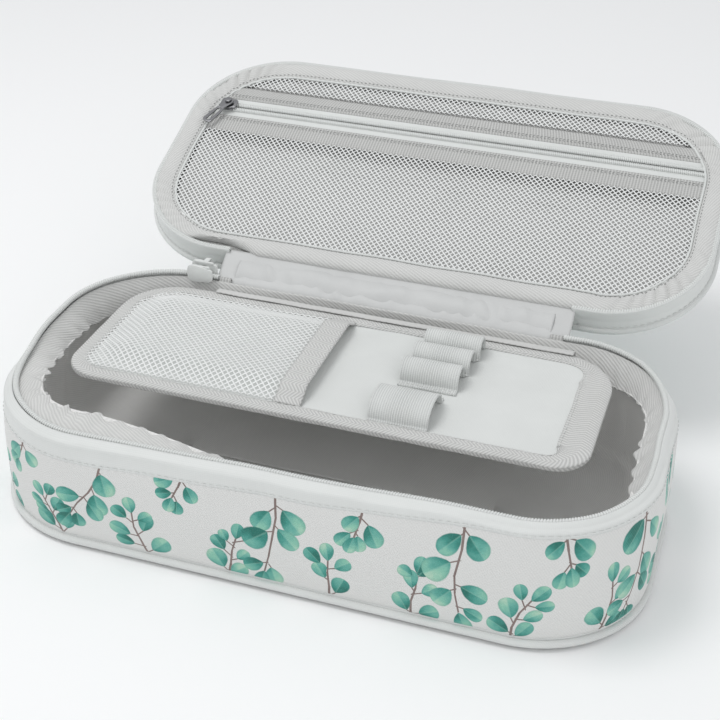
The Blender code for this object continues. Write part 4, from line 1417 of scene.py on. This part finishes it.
def bag_rise(x, y):
    """How high the divider's net pocket stands over the flap: sewn down on three sides."""
    sewn, r = 4.5, 14
    dx = np.maximum(r - (x - FLAP_LOW.x - sewn), 0)
    dy = np.maximum(r - np.minimum(y - FLAP_LOW.y, FLAP_HIGH.y - y) + sewn, 0)
    edge = r - np.hypot(dx, dy)
    return 3.4 * smooth_step(edge / 12) + 0.25 * ripple(x, y, 30, 141) * smooth_step(edge / r)


def make_net_pocket():
    """The divider's net pocket and the twill binding over its mouth."""
    low, high = box_of("pocket_mouth_binding")

    def place(x, y, height):
        return stack(x, y, 43.2 + bag_rise(x, y) + height)

    inside = Inside(FLAP, 5.2, x_high=low.x + 1)
    knit = net("divider_net", inside, place, (2.3, 2.3), NET_STRAND)
    piece(knit, NET, "divider", "net", "divider_mesh_pocket")
    size = [end - start for start, end in inside.box]
    yarn_area(knit)

    y = np.linspace(FLAP_LOW.y + 4, FLAP_HIGH.y - 4, 90)
    x, y = np.meshgrid(np.linspace(low.x, high.x, 12), y)
    rolled = 1 - np.abs(np.linspace(-1, 1, 12)) ** 5
    arch = 3.6 * smooth_step(np.minimum(y - y.min(), y.max() - y) / 9)
    z = 43.45 + arch + 0.35 * rolled + 0.15 * ripple(x, y, 22, 142)
    binding = thicken(surface("mouth_binding_twill", stack(x, y, z)), 0.5)
    piece(binding, BINDING, "divider", "twill_binding", "pocket_mouth_binding")


RIB_PITCH = 0.85
RIB_DEPTH = 0.16
LOOP_FEET = {1: (0.35, 2.6), 2: (0.35, 0.35), 3: (2.6, 0.35), 4: (0.7, 2.6)}  # in front of and behind a loop


def make_loops():
    """Pen loops of ribbed elastic, each a band over a pen with its feet sewn to the divider."""
    for number, feet in LOOP_FEET.items():
        low, high = box_of(f"elastic_loop_{number}")
        line = loop_line(low, high, feet)
        x = np.linspace(low.x, high.x, round((high.x - low.x) / RIB_PITCH) * 6 + 1)
        rib = RIB_DEPTH * np.abs(np.sin(math.pi * (x - low.x) / RIB_PITCH))
        slope = np.gradient(line, axis=0)
        slope /= np.linalg.norm(slope, axis=1, keepdims=True)
        y, z = line[:, :1] - slope[:, 1:] * rib, line[:, 1:] + slope[:, :1] * rib
        loop = thicken(surface(f"pen_loop_{number}", stack(x, y, z)), 0.7)
        piece(loop, ELASTIC, "divider", "elastic", f"elastic_loop_{number}")
        for side, name, edge, foot in ((-1, "front", low.y, feet[0]), (1, "back", high.y, feet[1])):
            if foot > 1:
                sew_foot(f"pen_loop_{number}_stitching_{name}", low, high, edge + side * foot * 0.55)


def loop_line(low, high, feet):
    """A loop's cross-section, from its front foot over the pen to its back foot."""
    foot_z, angle = low.z + 0.1, np.linspace(math.pi, 0, 34)
    y = (low.y + high.y) / 2 + (high.y - low.y) / 2 * np.cos(angle)
    arc = stack(y, foot_z + (high.z - low.z) * np.sin(angle) ** 0.8)
    first = stack(np.linspace(low.y - feet[0], low.y, 5)[:-1], foot_z)
    last = stack(np.linspace(high.y, high.y + feet[1], 5)[1:], foot_z)
    return resample(np.vstack([first, arc, last]), 60)


def sew_foot(name, low, high, y):
    """A row of stitches that holds a loop's wider foot."""
    path = stack(np.linspace(low.x + 0.4, high.x - 0.4, 40), y, low.z + 0.24)
    sewn = stitches(name, path, UP, 1.6, 1.2, 0.16, skew=0.6)
    piece(sewn, THREAD, "divider", "elastic")


# ---------------------------------------------------------------- the studio

CAMERA_AT = (0.12631, -0.36853, 0.29127)  # metres
CAMERA_TURN, CAMERA_TILT, CAMERA_ROLL = 0.311, 0.547, 0.018  # radians
LENS_MM = 70.0
SKY = (0.97, 0.985, 1.0, 1.0)
SKY_STRENGTH = 0.72


def make_camera():
    """The camera at the photo's angle."""
    turn, tilt = CAMERA_TURN, CAMERA_TILT
    back = Vector((math.sin(turn) * math.cos(tilt), -math.cos(turn) * math.cos(tilt), math.sin(tilt)))
    right = Vector(UP).cross(back).normalized()
    spin = Matrix((right, back.cross(right), back)).transposed().to_4x4()
    lens = bpy.data.cameras.new("camera")
    lens.lens, lens.sensor_width, lens.clip_start = LENS_MM, 36.0, 0.01
    camera = bpy.data.objects.new("camera", lens)
    bpy.context.scene.collection.objects.link(camera)
    camera.matrix_world = Matrix.Translation(CAMERA_AT) @ spin @ Matrix.Rotation(CAMERA_ROLL, 4, "Z")
    bpy.context.scene.camera = camera


def make_studio():
    """A pale floor, a white world and soft lamps."""
    bpy.ops.mesh.primitive_plane_add(size=6.0, location=metres(0, 0, -0.4))
    floor = bpy.context.object
    floor.name = "floor"
    colours = shade(FLOOR_WHITE, 0.99), shade(FLOOR_WHITE, 1.0)
    paint = Paint("floor", 0.9)
    paint.base(paint.mix(paint.noise(3.0), *colours))
    floor.data.materials.append(paint.material)

    world = bpy.data.worlds.new("studio")
    world.use_nodes = True
    sky = world.node_tree.nodes["Background"].inputs
    sky["Color"].default_value = SKY
    sky["Strength"].default_value = SKY_STRENGTH
    bpy.context.scene.world = world
    lamp("key", (-0.30, -0.10, 0.90), 0.40, 2.6)
    lamp("fill", (0.6, -0.8, 0.5), 0.7, 1.0)
    bpy.context.scene.view_settings.view_transform = "Standard"


def lamp(name, at, size, power):
    """A square soft lamp that looks at the case; its place and size are in metres."""
    data = bpy.data.lights.new(name, "AREA")
    data.size, data.energy = size, power
    obj = bpy.data.objects.new(name, data)
    bpy.context.scene.collection.objects.link(obj)
    obj.location = at
    obj.rotation_euler = (Vector((0, 0, 0.03)) - Vector(at)).to_track_quat("-Z", "Y").to_euler()


make_base()
make_wall()
make_lining()
make_rim_binding()
make_body_zip()
make_lid_shell()
make_lid_lining()
make_lid_band()
make_lid_zip()
make_pocket()
make_hinge()
make_main_slider()
make_main_pull()
make_pocket_slider()
make_divider()
make_divider_tape()
make_net_pocket()
make_loops()
for board in ("base_board", "lid_board"):
    frame["nodes"][board].data.materials.clear()
    frame["nodes"][board].data.materials.append(BOARD)
make_camera()
make_studio()
